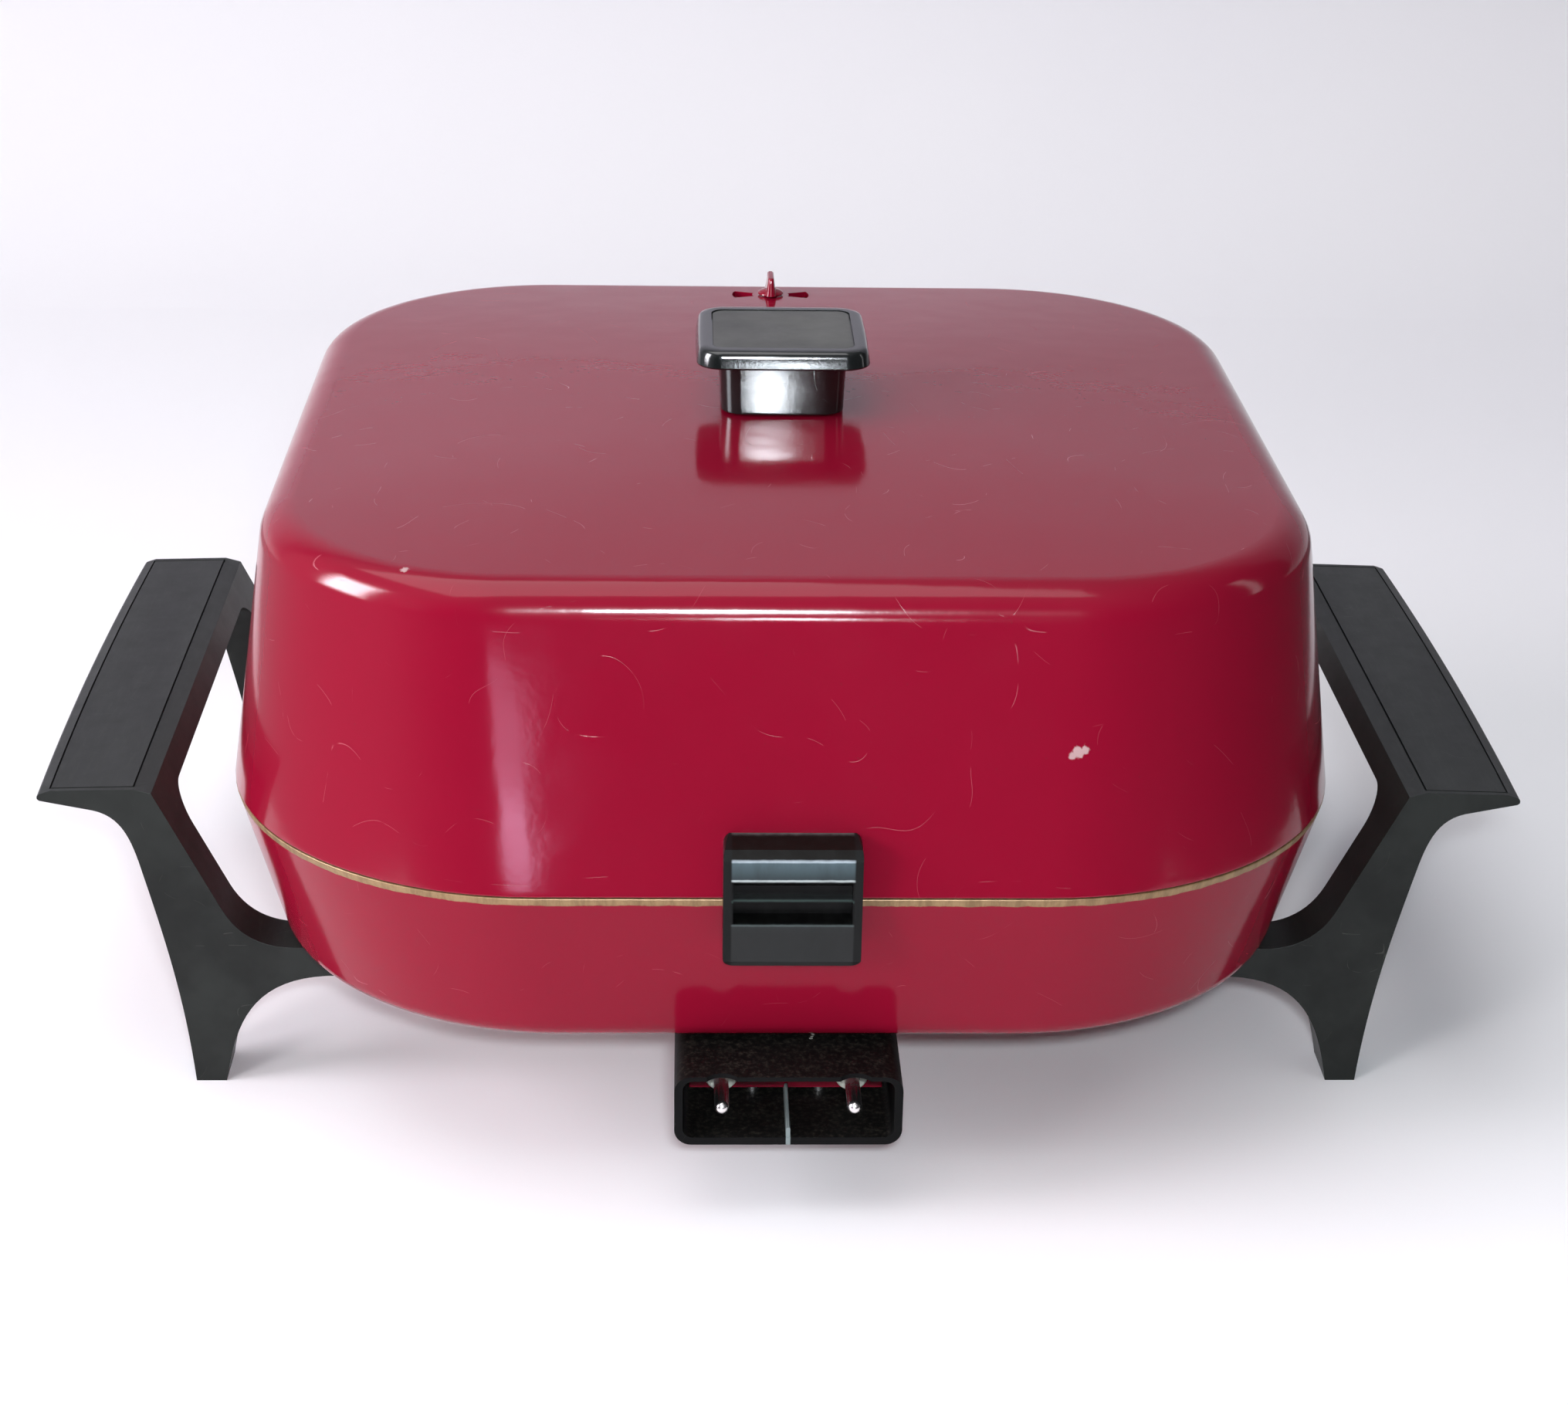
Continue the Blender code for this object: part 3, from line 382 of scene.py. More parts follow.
def bump(tree, height, distance, strength=1.0, normal=None):
    inputs = {"Height": height, "Distance": distance, "Strength": strength}
    if normal:
        inputs["Normal"] = normal
    return node(tree, "Bump", inputs).outputs["Normal"]


def stretched(tree, vector, factors):
    return node(tree, "VectorMath", {0: vector, 1: factors}, operation="MULTIPLY").outputs[0]


def scratches(tree, vector, scale, width, seed):
    """Thin curved lines, broken into short lengths."""
    field = noise(tree, vector, scale, 0.0, 0.5, seed)
    distance = calculate(tree, "ABSOLUTE", calculate(tree, "SUBTRACT", field, 0.5))
    line = smooth(tree, distance, width, 0.0)
    breaks = smooth(tree, noise(tree, vector, scale * 3, 1.0, 0.5, seed + 5), 0.56, 0.62)
    return calculate(tree, "MULTIPLY", line, breaks)


def new_material(name):
    material = bpy.data.materials.new(name)
    material.use_nodes = True
    tree = material.node_tree
    tree.nodes.clear()
    output = node(tree, "OutputMaterial")
    vector = node(tree, "TexCoord").outputs["Object"]
    return material, tree, output, vector


def principled(tree, colour, roughness, metallic=0.0, normal=None, ior=1.5):
    inputs = {"Roughness": roughness, "Metallic": metallic, "IOR": ior}
    shader = node(tree, "BsdfPrincipled", inputs)
    if isinstance(colour, bpy.types.NodeSocket):
        tree.links.new(colour, shader.inputs["Base Color"])
    else:
        shader.inputs["Base Color"].default_value = (*colour, 1)
    if normal:
        tree.links.new(normal, shader.inputs["Normal"])
    return shader.outputs[0]


def marks(tree, vector, places):
    """A mask of small irregular spots at the places given, as (point, radius)."""
    ragged = scale_range(tree, noise(tree, vector, 900, 3.0, 0.7), 0.2, 1.8)
    total = None
    for point, radius in places:
        apart = node(tree, "VectorMath", {0: vector, 1: point}, operation="DISTANCE")
        apart = apart.outputs["Value"]
        apart = calculate(tree, "MULTIPLY", apart, ragged)
        spot = smooth(tree, apart, radius, radius * 0.6)
        total = spot if total is None else calculate(tree, "MAXIMUM", total, spot)
    return total


def paint_material(name, bare_from=None, spots=(), ior=1.39):
    """Glossy crimson enamel with slight waves and hairline scratches, and bare metal above bare_from."""
    material, tree, output, vector = new_material(name)
    broad = noise(tree, vector, 9, 2.0)
    dark = (0.200, 0.0026, 0.0165)
    bright = (0.235, 0.0036, 0.0210)
    colour = mix(tree, scale_range(tree, broad, 0.25, 0.75), dark, bright)
    lines = scratches(tree, vector, 26, 0.0011, 3.0)
    lines = calculate(tree, "MAXIMUM", lines, scratches(tree, vector, 41, 0.0013, 11.0))
    colour = mix(tree, calculate(tree, "MULTIPLY", lines, 0.35), colour, (0.50, 0.14, 0.18))
    specks = smooth(tree, noise(tree, vector, 900, 1.0, 0.5, 2.0), 0.77, 0.80)
    colour = mix(tree, calculate(tree, "MULTIPLY", specks, 0.30), colour, (0.12, 0.02, 0.02))
    smudge = noise(tree, vector, 34, 4.0, 0.6, 7.0)
    roughness = scale_range(tree, smudge, 0.07, 0.17)
    roughness = calculate(tree, "ADD", roughness, calculate(tree, "MULTIPLY", lines, 0.25))
    if spots:
        colour = mix(tree, marks(tree, vector, spots), colour, (0.46, 0.30, 0.30))
    normal = bump(tree, noise(tree, vector, 60, 1.0, 0.4), 0.0004, 0.35)
    normal = bump(tree, noise(tree, vector, 520, 1.0, 0.5, 4.0), 0.00002, 0.5, normal)
    normal = bump(tree, lines, -0.00002, 0.6, normal)
    shader = principled(tree, colour, roughness, 0.0, normal, ior)
    if bare_from:
        shader = worn_rim(tree, vector, shader, bare_from)
    tree.links.new(shader, output.inputs["Surface"])
    return material


def worn_rim(tree, vector, painted, bare_from):
    """The paint, with stained metal showing above this height."""
    height = node(tree, "SeparateXYZ", {0: vector}).outputs["Z"]
    ragged = noise(tree, vector, 130, 4.0, 0.7)
    ragged = calculate(tree, "MULTIPLY_ADD", ragged, 0.0012, -0.0006)
    height = calculate(tree, "ADD", height, ragged)
    bare = smooth(tree, height, bare_from - 0.0001, bare_from + 0.0001)
    streaks = noise(tree, stretched(tree, vector, (1.0, 1.0, 0.15)), 420, 3.0, 0.7)
    metal = mix(tree, smooth(tree, streaks, 0.3, 0.7), (0.19, 0.115, 0.050), (0.31, 0.200, 0.095))
    metal = principled(tree, metal, 0.42, 0.35)
    return node(tree, "MixShader", {0: bare, 1: painted, 2: metal}).outputs[0]


def phenolic_material(
    name, colour, dusty, rough, ior, grain=EVEN_GRAIN, pale=(0.13, 0.14, 0.12), guard=False
):
    """Moulded phenolic: nearly black, with flow marks, a fine grain and some dust on what faces up."""
    material, tree, output, vector = new_material(name)
    flow = noise(tree, stretched(tree, vector, grain), 45, 4.0, 0.6)
    darker = tuple(channel * 0.7 for channel in colour)
    lighter = tuple(channel * 1.35 for channel in colour)
    base = mix(tree, smooth(tree, flow, 0.3, 0.7), darker, lighter)
    up = node(tree, "SeparateXYZ", {0: node(tree, "NewGeometry").outputs["Normal"]}).outputs["Z"]
    fine = noise(tree, stretched(tree, vector, grain), 800, 4.0, 0.75, 1.0)
    dust = calculate(tree, "MULTIPLY", smooth(tree, up, 0.2, 0.95), smooth(tree, fine, 0.45, 0.75))
    base = mix(tree, calculate(tree, "MULTIPLY", dust, dusty), base, pale)
    lines = scratches(tree, vector, 60, 0.0016, 8.0)
    base = mix(tree, calculate(tree, "MULTIPLY", lines, 0.25), base, pale)
    if guard:
        base = guard_rib_highlight_and_marks(tree, vector, base)
    roughness = scale_range(tree, noise(tree, vector, 120, 3.0, 0.6, 9.0), rough - 0.07, rough + 0.09)
    normal = bump(tree, fine, 0.00003, 0.7)
    normal = bump(tree, lines, -0.00002, 0.5, normal)
    tree.links.new(principled(tree, base, roughness, 0.0, normal, ior), output.inputs["Surface"])
    return material


def guard_rib_highlight_and_marks(tree, vector, base):
    """A painted highlight along the guard's rib, and the scratch on its top."""
    parts = node(tree, "SeparateXYZ", {0: vector}).outputs
    # Painted highlight: a pale cool strip along the rib and down the middle of the guard's floor
    rib_highlight = between(tree, parts["X"], -0.0006, 0.0006, 0.0001)
    rib_highlight = calculate(tree, "MULTIPLY", rib_highlight, smooth(tree, parts["Z"], 0.0290, 0.0285))
    base = mix(tree, rib_highlight, base, (0.20, 0.24, 0.24))
    return mix(tree, marks(tree, vector, GUARD_MARKS), base, (0.30, 0.31, 0.28))


def bracket_painted_light(tree, height):
    """The bracket's colour by height: painted highlights along its edges and painted shade in its grooves."""
    low, high = BRACKET_PAINTED_LIGHT_Z
    share = node(tree, "MapRange", {"Value": height, "From Min": low, "From Max": high})
    ramp = node(tree, "ValToRGB", {0: share.outputs["Result"]})
    stops = ramp.color_ramp.elements
    stops[0].color = (*BRACKET_PAINTED_LIGHT_COLOURS[0][1], 1)
    stops[1].color = (*BRACKET_PAINTED_LIGHT_COLOURS[-1][1], 1)
    for level, colour in BRACKET_PAINTED_LIGHT_COLOURS[1:]:
        stops.new((level - low) / (high - low)).color = (*colour, 1)
    return ramp.outputs[0]


def bracket_material(name):
    """Nearly black phenolic, with painted highlights along the front face's edges and painted shade in its
    grooves.
    """
    material, tree, output, vector = new_material(name)
    parts = node(tree, "SeparateXYZ", {0: vector}).outputs
    waves = noise(tree, vector, 500, 2.0)
    height = calculate(tree, "MULTIPLY_ADD", waves, 0.0002, calculate(tree, "SUBTRACT", parts["Z"], 0.0001))
    normal = node(tree, "SeparateXYZ", {0: node(tree, "TexCoord").outputs["Normal"]}).outputs["Y"]
    facing = smooth(tree, normal, 0.2, -0.1)
    inner = BRACKET_CHEEK_X + 0.0004
    facing = calculate(tree, "MULTIPLY", facing, between(tree, parts["X"], -inner, inner, 0.0003))
    flow = noise(tree, stretched(tree, vector, (1.0, 1.0, 0.3)), 260, 3.0, 0.6, 4.0)
    # The front face takes the painted highlights, reflections and groove shade by height
    base = mix(tree, facing, (0.006, 0.0065, 0.0065), bracket_painted_light(tree, height))
    base = mix(tree, smooth(tree, flow, 0.35, 0.75), base, mix(tree, 0.75, (0.012, 0.013, 0.012), base))
    roughness = scale_range(tree, noise(tree, vector, 180, 3.0, 0.6, 9.0), 0.26, 0.42)
    normal = bump(tree, flow, 0.00003, 0.6)
    tree.links.new(principled(tree, base, roughness, 0.0, normal, 1.22), output.inputs["Surface"])
    return material


def metal_material(name, colour, rough, grain=EVEN_GRAIN, stain=(0.2, 0.17, 0.12), amount=0.4):
    """Bare metal with fine drawing lines, some stain and small pits."""
    material, tree, output, vector = new_material(name)
    lines = noise(tree, stretched(tree, vector, grain), 900, 3.0, 0.7)
    blotch = smooth(tree, noise(tree, vector, 70, 5.0, 0.65, 6.0), 0.48, 0.72)
    base = mix(tree, calculate(tree, "MULTIPLY", blotch, amount), colour, stain)
    roughness = calculate(tree, "MULTIPLY_ADD", lines, 0.14, rough - 0.07)
    roughness = calculate(tree, "MULTIPLY_ADD", blotch, 0.12, roughness)
    normal = bump(tree, lines, 0.00002, 0.5)
    tree.links.new(principled(tree, base, roughness, 1.0, normal), output.inputs["Surface"])
    return material


def ceramic_material(name):
    material, tree, output, vector = new_material(name)
    grain = noise(tree, vector, 700, 4.0, 0.6)
    base = mix(tree, grain, (0.42, 0.44, 0.38), (0.62, 0.63, 0.56))
    normal = bump(tree, grain, 0.00004, 0.6)
    tree.links.new(principled(tree, base, 0.5, 0.0, normal), output.inputs["Surface"])
    return material


# The pan


def pan_ring(point):
    """The ring through a (half width, height) of the pan's section. Its corners widen towards the rim."""
    share = (point[1] - PAN_BASE_Z) / (RIM_Z - PAN_BASE_Z)
    side = PAN_BASE_HALF + share * (RIM_HALF - PAN_BASE_HALF)
    radius = PAN_BASE_CORNER + share * (RIM_CORNER - PAN_BASE_CORNER)
    return rounded_rectangle(point[0], point[0], radius + point[0] - side, point[1])


def pan_rings():
    """Rings up the outside, over the rim and down the inside, and how many of them are outside."""
    corner = (PAN_BASE_HALF, PAN_BASE_Z)
    arc = fillet(corner, (0, PAN_BASE_Z), (RIM_HALF, RIM_Z), 0.008, 12)
    rim = fillet((RIM_HALF, RIM_Z), (PAN_BASE_HALF, PAN_BASE_Z), (0, RIM_Z), 0.0003, 4)
    outer = arc + straight(arc[-1], rim[0]) + rim
    floor_z = PAN_BASE_Z + PAN_FLOOR
    slope = (RIM_HALF - PAN_BASE_HALF) / (RIM_Z - PAN_BASE_Z)
    floor_half = PAN_BASE_HALF + PAN_FLOOR * slope - PAN_WALL
    rim_half = RIM_HALF - PAN_WALL
    inner = fillet((rim_half, RIM_Z), (RIM_HALF, RIM_Z), (floor_half, floor_z), 0.0006, 3)
    inner += fillet((floor_half, floor_z), (rim_half, RIM_Z), (0, floor_z), 0.006, 8)
    return [pan_ring(point) for point in outer + inner], len(outer)


def make_pan(materials):
    """The pan, with the cast block that carries the pins and the rib along the probe's tube."""
    rings, outside = pan_rings()
    bm = loft(rings, outside)
    low, high = BOSS_Z
    sunk = PAN_BASE_Z + 0.001
    add_box(bm, (-BOSS_HALF_X, -0.136, low), (BOSS_HALF_X, -0.1285, high))
    add_box(bm, (-BOSS_HALF_X, -0.1300, low), (BOSS_HALF_X, -0.112, sunk))
    add_box(bm, (-0.006, -0.113, 0.0404), (0.006, -0.062, sunk))
    finish = (materials["pan_paint"], materials["aluminium"])
    piece("pan_body", bm, finish, "pan", ("pan_shell",))


def element_path():
    """The element's middle line: up from one pin, round a square loop and back to the other."""
    ends = ((-0.1187, PIN_Z), (-0.109, PIN_Z), (-0.1055, 0.0330))
    ends += ((-0.1025, 0.0356), (-0.0995, 0.0380), (-0.097, 0.0388))
    path = [Vector((PIN_X, y, z)) for y, z in ends]
    bend = 0.010
    for step in range(1, 7):
        angle = math.pi - step * math.pi / 12
        x = PIN_X + bend + bend * math.cos(angle)
        y = -ELEMENT_HALF - bend + bend * math.sin(angle)
        path.append(Vector((x, y, ELEMENT_Z)))
    middle = ELEMENT_HALF - ELEMENT_CORNER
    for turn in range(2):
        for step in range(17):
            angle = -math.pi / 2 + turn * math.pi / 2 + step * math.pi / 32
            x = middle + ELEMENT_CORNER * math.cos(angle)
            y = middle * (2 * turn - 1) + ELEMENT_CORNER * math.sin(angle)
            path.append(Vector((x, y, ELEMENT_Z)))
    return path + [Vector((-point.x, point.y, point.z)) for point in reversed(path)]


def make_element(materials):
    path = element_path()
    rings = []
    for index, point in enumerate(path):
        along = (path[min(index + 1, len(path) - 1)] - path[max(index - 1, 0)]).normalized()
        side = along.cross(Vector((0, 0, 1))).normalized()
        up = side.cross(along)
        angles = [2 * math.pi * k / 24 for k in range(24)]
        rings.append([point + ELEMENT_RADIUS * (math.cos(a) * side + math.sin(a) * up) for a in angles])
    piece("element_tube", loft(rings), (materials["sheath"],), "pan", ("heating_element",))


# The socket


def guard_ring(inset, low, high, y):
    outline = rounded_rectangle(GUARD_HALF_X - inset, (high - low) / 2, 0.0045 - inset * 0.8, 0, 8)
    return [(x, y, (low + high) / 2 + z) for x, z, _ in outline]


def make_rib(floor):
    """The low rib along the middle of the guard's floor, with its top corners cut."""
    half, cut = 0.00055, 0.0003
    top = floor + 0.0029
    outline = [(-half, floor - 0.0012), (half, floor - 0.0012), (half, top - 0.0005), (cut, top)]
    outline += [(-cut, top), (-half, top - 0.0005)]
    return prism(outline, lambda x, z, along: (x, -0.1475 + along, z), 0.0225)


def make_guard(materials):
    """The box round the socket: open in front, with two notches over the pins and a rib along its floor."""
    low, high = GUARD_Z
    floor = low + GUARD_SKIN
    body = loft([guard_ring(0, low, high, y) for y in (GUARD_FRONT_Y, -0.112)])
    mouth_ends = (GUARD_FRONT_Y - 0.001, -0.111)
    mouth = loft([guard_ring(GUARD_SKIN, floor, high - GUARD_TOP_SKIN, y) for y in mouth_ends])
    rear = add_box(bmesh.new(), (-0.0278, -0.1304, (low + high) / 2), (0.0278, -0.111, high + 0.001))
    notches = bmesh.new()
    for side in (-1, 1):
        profile = [(0, 0.0385), (0.0050, 0.0385), (0.0050, 0.0440), (0, 0.0440)]
        add_turned(notches, profile, (side * PIN_X, GUARD_FRONT_Y - 0.0030, 0), (0, 0, 1))
    steps = (("cut", mouth), ("cut", rear), ("cut", notches), ("bevel", 0.0003), ("add", make_rib(floor)))
    piece("socket_shroud", body, (materials["guard"],), "pan", ("socket_guard",), steps)


def make_pins(materials):
    """Two pins with round tips, each through a ceramic collar."""
    tip = [math.pi / 2 * step / 8 for step in range(9)]
    pin = [(PIN_RADIUS * math.sin(a), PIN_TIP_Y + PIN_RADIUS * (1 - math.cos(a))) for a in tip]
    pin += [(PIN_RADIUS, -0.119), (0, -0.119)]
    collar = [(0.0023, -0.1397), (0.0041, -0.1397), (0.0044, -0.1394), (0.0044, -0.1363)]
    collar += [(0.0042, -0.1363), (0.0042, -0.119), (0.0023, -0.119)]
    for side, label in ((-1, "left"), (1, "right")):
        centre = (side * PIN_X, 0, PIN_Z)
        body = add_turned(bmesh.new(), pin, centre, (0, 1, 0))
        piece("pin_" + label, body, (materials["pin"],), "pan", ("terminal_pin_" + label,))
        body = add_turned(bmesh.new(), collar, centre, (0, 1, 0))
        piece("collar_" + label, body, (materials["ceramic"],), "pan", ("insulator_" + label,))


def make_probe_tube(materials):
    profile = [(0, -0.064), (0.0034, -0.064), (0.0034, -0.1368), (0.0036, -0.137), (0.0044, -0.137)]
    profile += [(0.0046, -0.1368), (0.0046, -0.0624), (0.0042, -0.062), (0, -0.062)]
    body = add_turned(bmesh.new(), profile, (0, 0, PROBE_Z), (0, 1, 0))
    piece("probe_tube", body, (materials["aluminium"],), "pan", ("probe_well",))


# Handles


def handle_outline():
    """The handle from the front: an arm under the pan, up to the grip's wing, and down the leg."""
    arm_top = PAN_BASE_Z - 0.0003
    outline = [(0.112, arm_top), (0.137, arm_top)]
    outline += bezier((0.137, arm_top), (0.146, arm_top), (0.1525, 0.047), (0.1565, 0.055), 12)
    outline += [(0.1738, 0.0909), (0.1786, 0.0922), (0.2014, 0.0916), (0.2044, 0.0906), (0.2050, 0.0899)]
    outline += [(0.2050, 0.0891), (0.2044, 0.0886), (0.190, 0.0857)]
    outline += bezier((0.190, 0.0857), (0.183, 0.084), (0.1806, 0.078), (0.1786, 0.070), 12)
    outline += bezier((0.1786, 0.070), (0.173, 0.046), (0.1688, 0.028), (0.1669, 0), 16)
    outline += [(0.1583, 0)]
    outline += bezier((0.1583, 0), (0.155, 0.018), (0.150, 0.033), (0.128, 0.0341), 18)
    outline += [(0.112, 0.0341)]
    return outline


def bowed(side, x, along, z):
    """Places a point of the handle's outline. The grip's outer edge bows outwards in the middle."""
    outward = 0
    if z > GRIP_UNDERSIDE_Z:
        outward = max(0, (x - GRIP_INNER_X) / (GRIP_OUTER_X - GRIP_INNER_X))
    return (side * (x + GRIP_BOW * outward * (1 - (along / HANDLE_HALF_Y) ** 2)), along, z)


def panel_groove(side):
    """A shallow groove round the flat of the grip's top, as a ring of rectangular section."""
    bm = bmesh.new()
    width, low, high = 0.00055, 0.0911, 0.0935
    loops = []
    for grow, z in ((0.0, low), (0.0, high), (width, high), (width, low)):
        inner_x, outer_x, half_y = 0.1790 - grow, 0.2012 + grow, 0.0866 + grow
        corners = [(inner_x, -half_y), (outer_x, -half_y), (outer_x, half_y), (inner_x, half_y)]
        loop = []
        for start, end in zip(corners, corners[1:] + corners[:1]):
            for step in range(12):
                x, y = (a + step / 12 * (b - a) for a, b in zip(start, end))
                loop.append(bm.verts.new(bowed(side, x, y, z - 0.030 * (x - inner_x))))
        loops.append(loop)
    for lower, upper in zip(loops, loops[1:] + loops[:1]):
        for index in range(len(lower)):
            follower = (index + 1) % len(lower)
            bm.faces.new((lower[index], lower[follower], upper[follower], upper[index]))
    return bm


def make_handles(materials):
    """Each handle is the outline drawn out along the pan's side, with an arch between its legs."""
    half = HANDLE_HALF_Y - 0.016
    arch = [(half, -0.001), (half, GRIP_UNDERSIDE_Z - 0.010)]
    arch += fillet((half, GRIP_UNDERSIDE_Z), (half, 0), (0, GRIP_UNDERSIDE_Z), 0.010, 10)[1:]
    arch += [(-y, z) for y, z in reversed(arch)]
    screw_hole = [(0, 0.030), (0.0046, 0.030), (0.0046, 0.0374), (0.0026, 0.0374)]
    screw_hole += [(0.0026, 0.0444), (0, 0.0444)]
    screw_x, screw_y = HANDLE_SCREW
    for side, label in ((-1, "left"), (1, "right")):
        body = prism(handle_outline(), lambda x, z, along: bowed(side, x, along, z), 2 * HANDLE_HALF_Y, 24)
        opening = prism(arch, lambda y, z, along: (side * (0.158 + along), y, z), 0.112)
        holes = bmesh.new()
        for sign in (-1, 1):
            add_turned(holes, screw_hole, (side * screw_x, sign * screw_y, 0), (0, 0, 1), 32)
        steps = (("cut", opening), ("bevel", 0.0007), ("cut", holes), ("cut", panel_groove(side)))
        finish = (materials["handle"],)
        piece("grip_" + label, body, finish, "pan", ("handle_" + label,), steps)


# The lid


def crown_z(half):
    """The height of the lid's top this far from its middle."""
    return LID_TOP_Z + LID_CROWN * (1 - (half / LID_TOP_HALF) ** 2)


def lid_profile(inset, parts, steps):
    """(half width, corner radius, height) from the top's middle to the side, inset from the outer face."""
    half = LID_TOP_HALF - inset
    corner = (half, LID_TOP_Z - inset)
    seam = (RIM_HALF - inset, RIM_Z + SEAM_GAP)
    inner = (half - 0.01, crown_z(LID_TOP_HALF - 0.01) - inset)
    arc = fillet(corner, inner, seam, LID_EDGE_RADIUS - inset, steps)
    share = (arc[-1].y - seam[1]) / (corner[1] - seam[1])
    radius = RIM_CORNER + share * (LID_TOP_CORNER - RIM_CORNER) - inset
    edge = [(point.x, radius + point.x - arc[-1].x, point.y) for point in arc]
    edge_half, edge_radius, edge_z = edge[0]
    drop = crown_z(edge_half) - inset - edge_z
    rings = []
    for part in parts:
        ring_half = part * edge_half
        rings.append((ring_half, part * edge_radius, crown_z(ring_half) - inset - drop * part**2))
    return rings + edge


def lid_rings():
    """Rings down the outside, under the lip and up the inside, and how many of them are outside."""
    seam_z = RIM_Z + SEAM_GAP
    outer = lid_profile(0, [0.06 + 0.0783 * step for step in range(13)], 16)
    foot = fillet((RIM_HALF, seam_z), (LID_TOP_HALF, LID_TOP_Z), (0, seam_z), 0.0004, 4)
    foot = [(point.x, RIM_CORNER + point.x - RIM_HALF, point.y) for point in foot]
    outer += straight(outer[-1], foot[0]) + foot
    lip_corner = RIM_CORNER - (RIM_HALF - LIP_HALF)
    lip_bottom = RIM_Z - LIP_DEPTH
    sheet = LID_SHEET
    inner = [(LIP_HALF, lip_corner, seam_z), (LIP_HALF, lip_corner, lip_bottom)]
    inner += [(LIP_HALF - sheet, lip_corner - sheet, z) for z in (lip_bottom, 0.0945)]
    joggle_z = 0.0970
    share = (joggle_z - seam_z) / (LID_TOP_Z - seam_z)
    half = RIM_HALF + share * (LID_TOP_HALF - RIM_HALF) - sheet
    corner = RIM_CORNER + share * (LID_TOP_CORNER - RIM_CORNER) - sheet
    inner.append((half, corner, joggle_z))
    inner += lid_profile(sheet, [0.08, 0.3, 0.5, 0.7, 0.85], 8)[::-1]
    rings = [rounded_rectangle(half, half, radius, z) for half, radius, z in outer + inner]
    return rings, len(outer)


def make_lid(materials):
    rings, outside = lid_rings()
    low, high = 0.166, 0.180
    holes = bmesh.new()
    for middle in (0, math.pi):
        join(holes, loft(vent_wing(low, high, math.radians(22), (0.006, 0.0126), middle)))
    add_turned(holes, [(0, low), (0.0025, low), (0.0025, high), (0, high)], (0, VENT_Y, 0), (0, 0, 1), 32)
    finish = (materials["lid_paint"], materials["aluminium"])
    piece("lid_dome", loft(rings, outside), finish, "lid", ("lid_shell",), (("cut", holes),))


def vent_wing(low, high, half_angle, radii, middle_angle, steps=10):
    """A sector of a ring about the vent's axis, at two heights."""
    outline = []
    for radius, order in ((radii[0], 1), (radii[1], -1)):
        for step in range(steps + 1):
            angle = middle_angle + order * half_angle * (2 * step / steps - 1)
            outline.append((radius * math.cos(angle), VENT_Y + radius * math.sin(angle)))
    return [[(x, y, z) for x, y in outline] for z in (low, high)]


def make_vent(materials):
    """The lever: a round foot with its shaft through the lid, and a thin fin that narrows upwards."""
    base = 0.1740
    profile = [(0, 0.1670), (0.0034, 0.1670), (0.0034, 0.1682), (0.0022, 0.1682), (0.0022, base)]
    profile += [(0.0040, base), (0.0042, base + 0.0002), (0.0041, base + 0.0006), (0.0034, base + 0.0011)]
    profile += [(0.0022, base + 0.0015), (0, base + 0.0016)]
    body = add_turned(bmesh.new(), profile, (0, VENT_Y, 0), (0, 0, 1))
    low, high = base + 0.0006, 0.17995
    rings = []
    for step in range(7):
        share = step / 6
        half_x = 0.0018 - 0.0008 * math.sin(share * math.pi / 2)
        half_y = 0.0064 - 0.0014 * share
        z = high if step == 6 else low + share * 0.0057
        rings.append(rounded_rectangle(half_x, half_y, half_x * 0.96, z, 8))
    rings.append(rounded_rectangle(0.0006, 0.0045, 0.00055, 0.18030, 8))
    fin = loft([[(x, y + VENT_Y, z) for x, y, z in ring] for ring in rings])
    steps = (("add", fin),)
    piece("vent_knob", body, (materials["vent_paint"],), "vent", ("vent_lever",), steps)


def make_knob_post(materials):
    low, high = KNOB_POST_Z
    rings = []
    for inset, z in ((0.0013, low), (0.0007, low + 0.0004), (0.0006, low + 0.0010), (0.0, high)):
        half = KNOB_POST_HALF - inset
        rings.append(rounded_rectangle(half, half, 0.006 - inset / 2, z, 12, 0.0006))
    hole = [(0, 0.176), (0.0027, 0.176), (0.0027, 0.187), (0, 0.187)]
    hole = add_turned(bmesh.new(), hole, (0, 0, 0), (0, 0, 1), 32)
    steps = (("cut", hole),)
    piece("knob_stem", loft(rings), (materials["gloss"],), "lid", ("knob_post",), steps)


def make_knob_cap(materials):
    """The cap, with a shallow recess in its top for the plate."""
    low, high = KNOB_CAP_Z
    section = (
        (0.0016, low), (0.0009, low + 0.0002), (0.0003, low + 0.0005), (0.0001, low + 0.0009),
        (0.0005, low + 0.0034), (0.0009, high - 0.0011), (0.0013, high - 0.0005), (0.0021, high - 0.00015),
        (0.0032, high),
    )
    rings = []
    for inset, z in section:
        half_x, half_y = (half - inset for half in KNOB_CAP_HALF)
        rings.append(rounded_rectangle(half_x, half_y, 0.0068 - inset / 2, z, 14, 0.0004))
    recess = loft([rounded_rectangle(0.0203, 0.0193, 0.0038, z, 8) for z in (high - 0.0012, high + 0.001)])
    steps = (("cut", recess),)
    piece("knob_top", loft(rings), (materials["gloss"],), "lid", ("knob_cap",), steps)
    rings = []
    for inset, z in ((0.0, high - 0.0009), (0.0, high - 0.0004), (0.0003, high - 0.0002)):
        rings.append(rounded_rectangle(0.0200 - inset, 0.0190 - inset, 0.0035 - inset / 2, z, 8))
    piece("knob_plate", loft(rings), (materials["plate"],), "lid", ("knob_insert",))


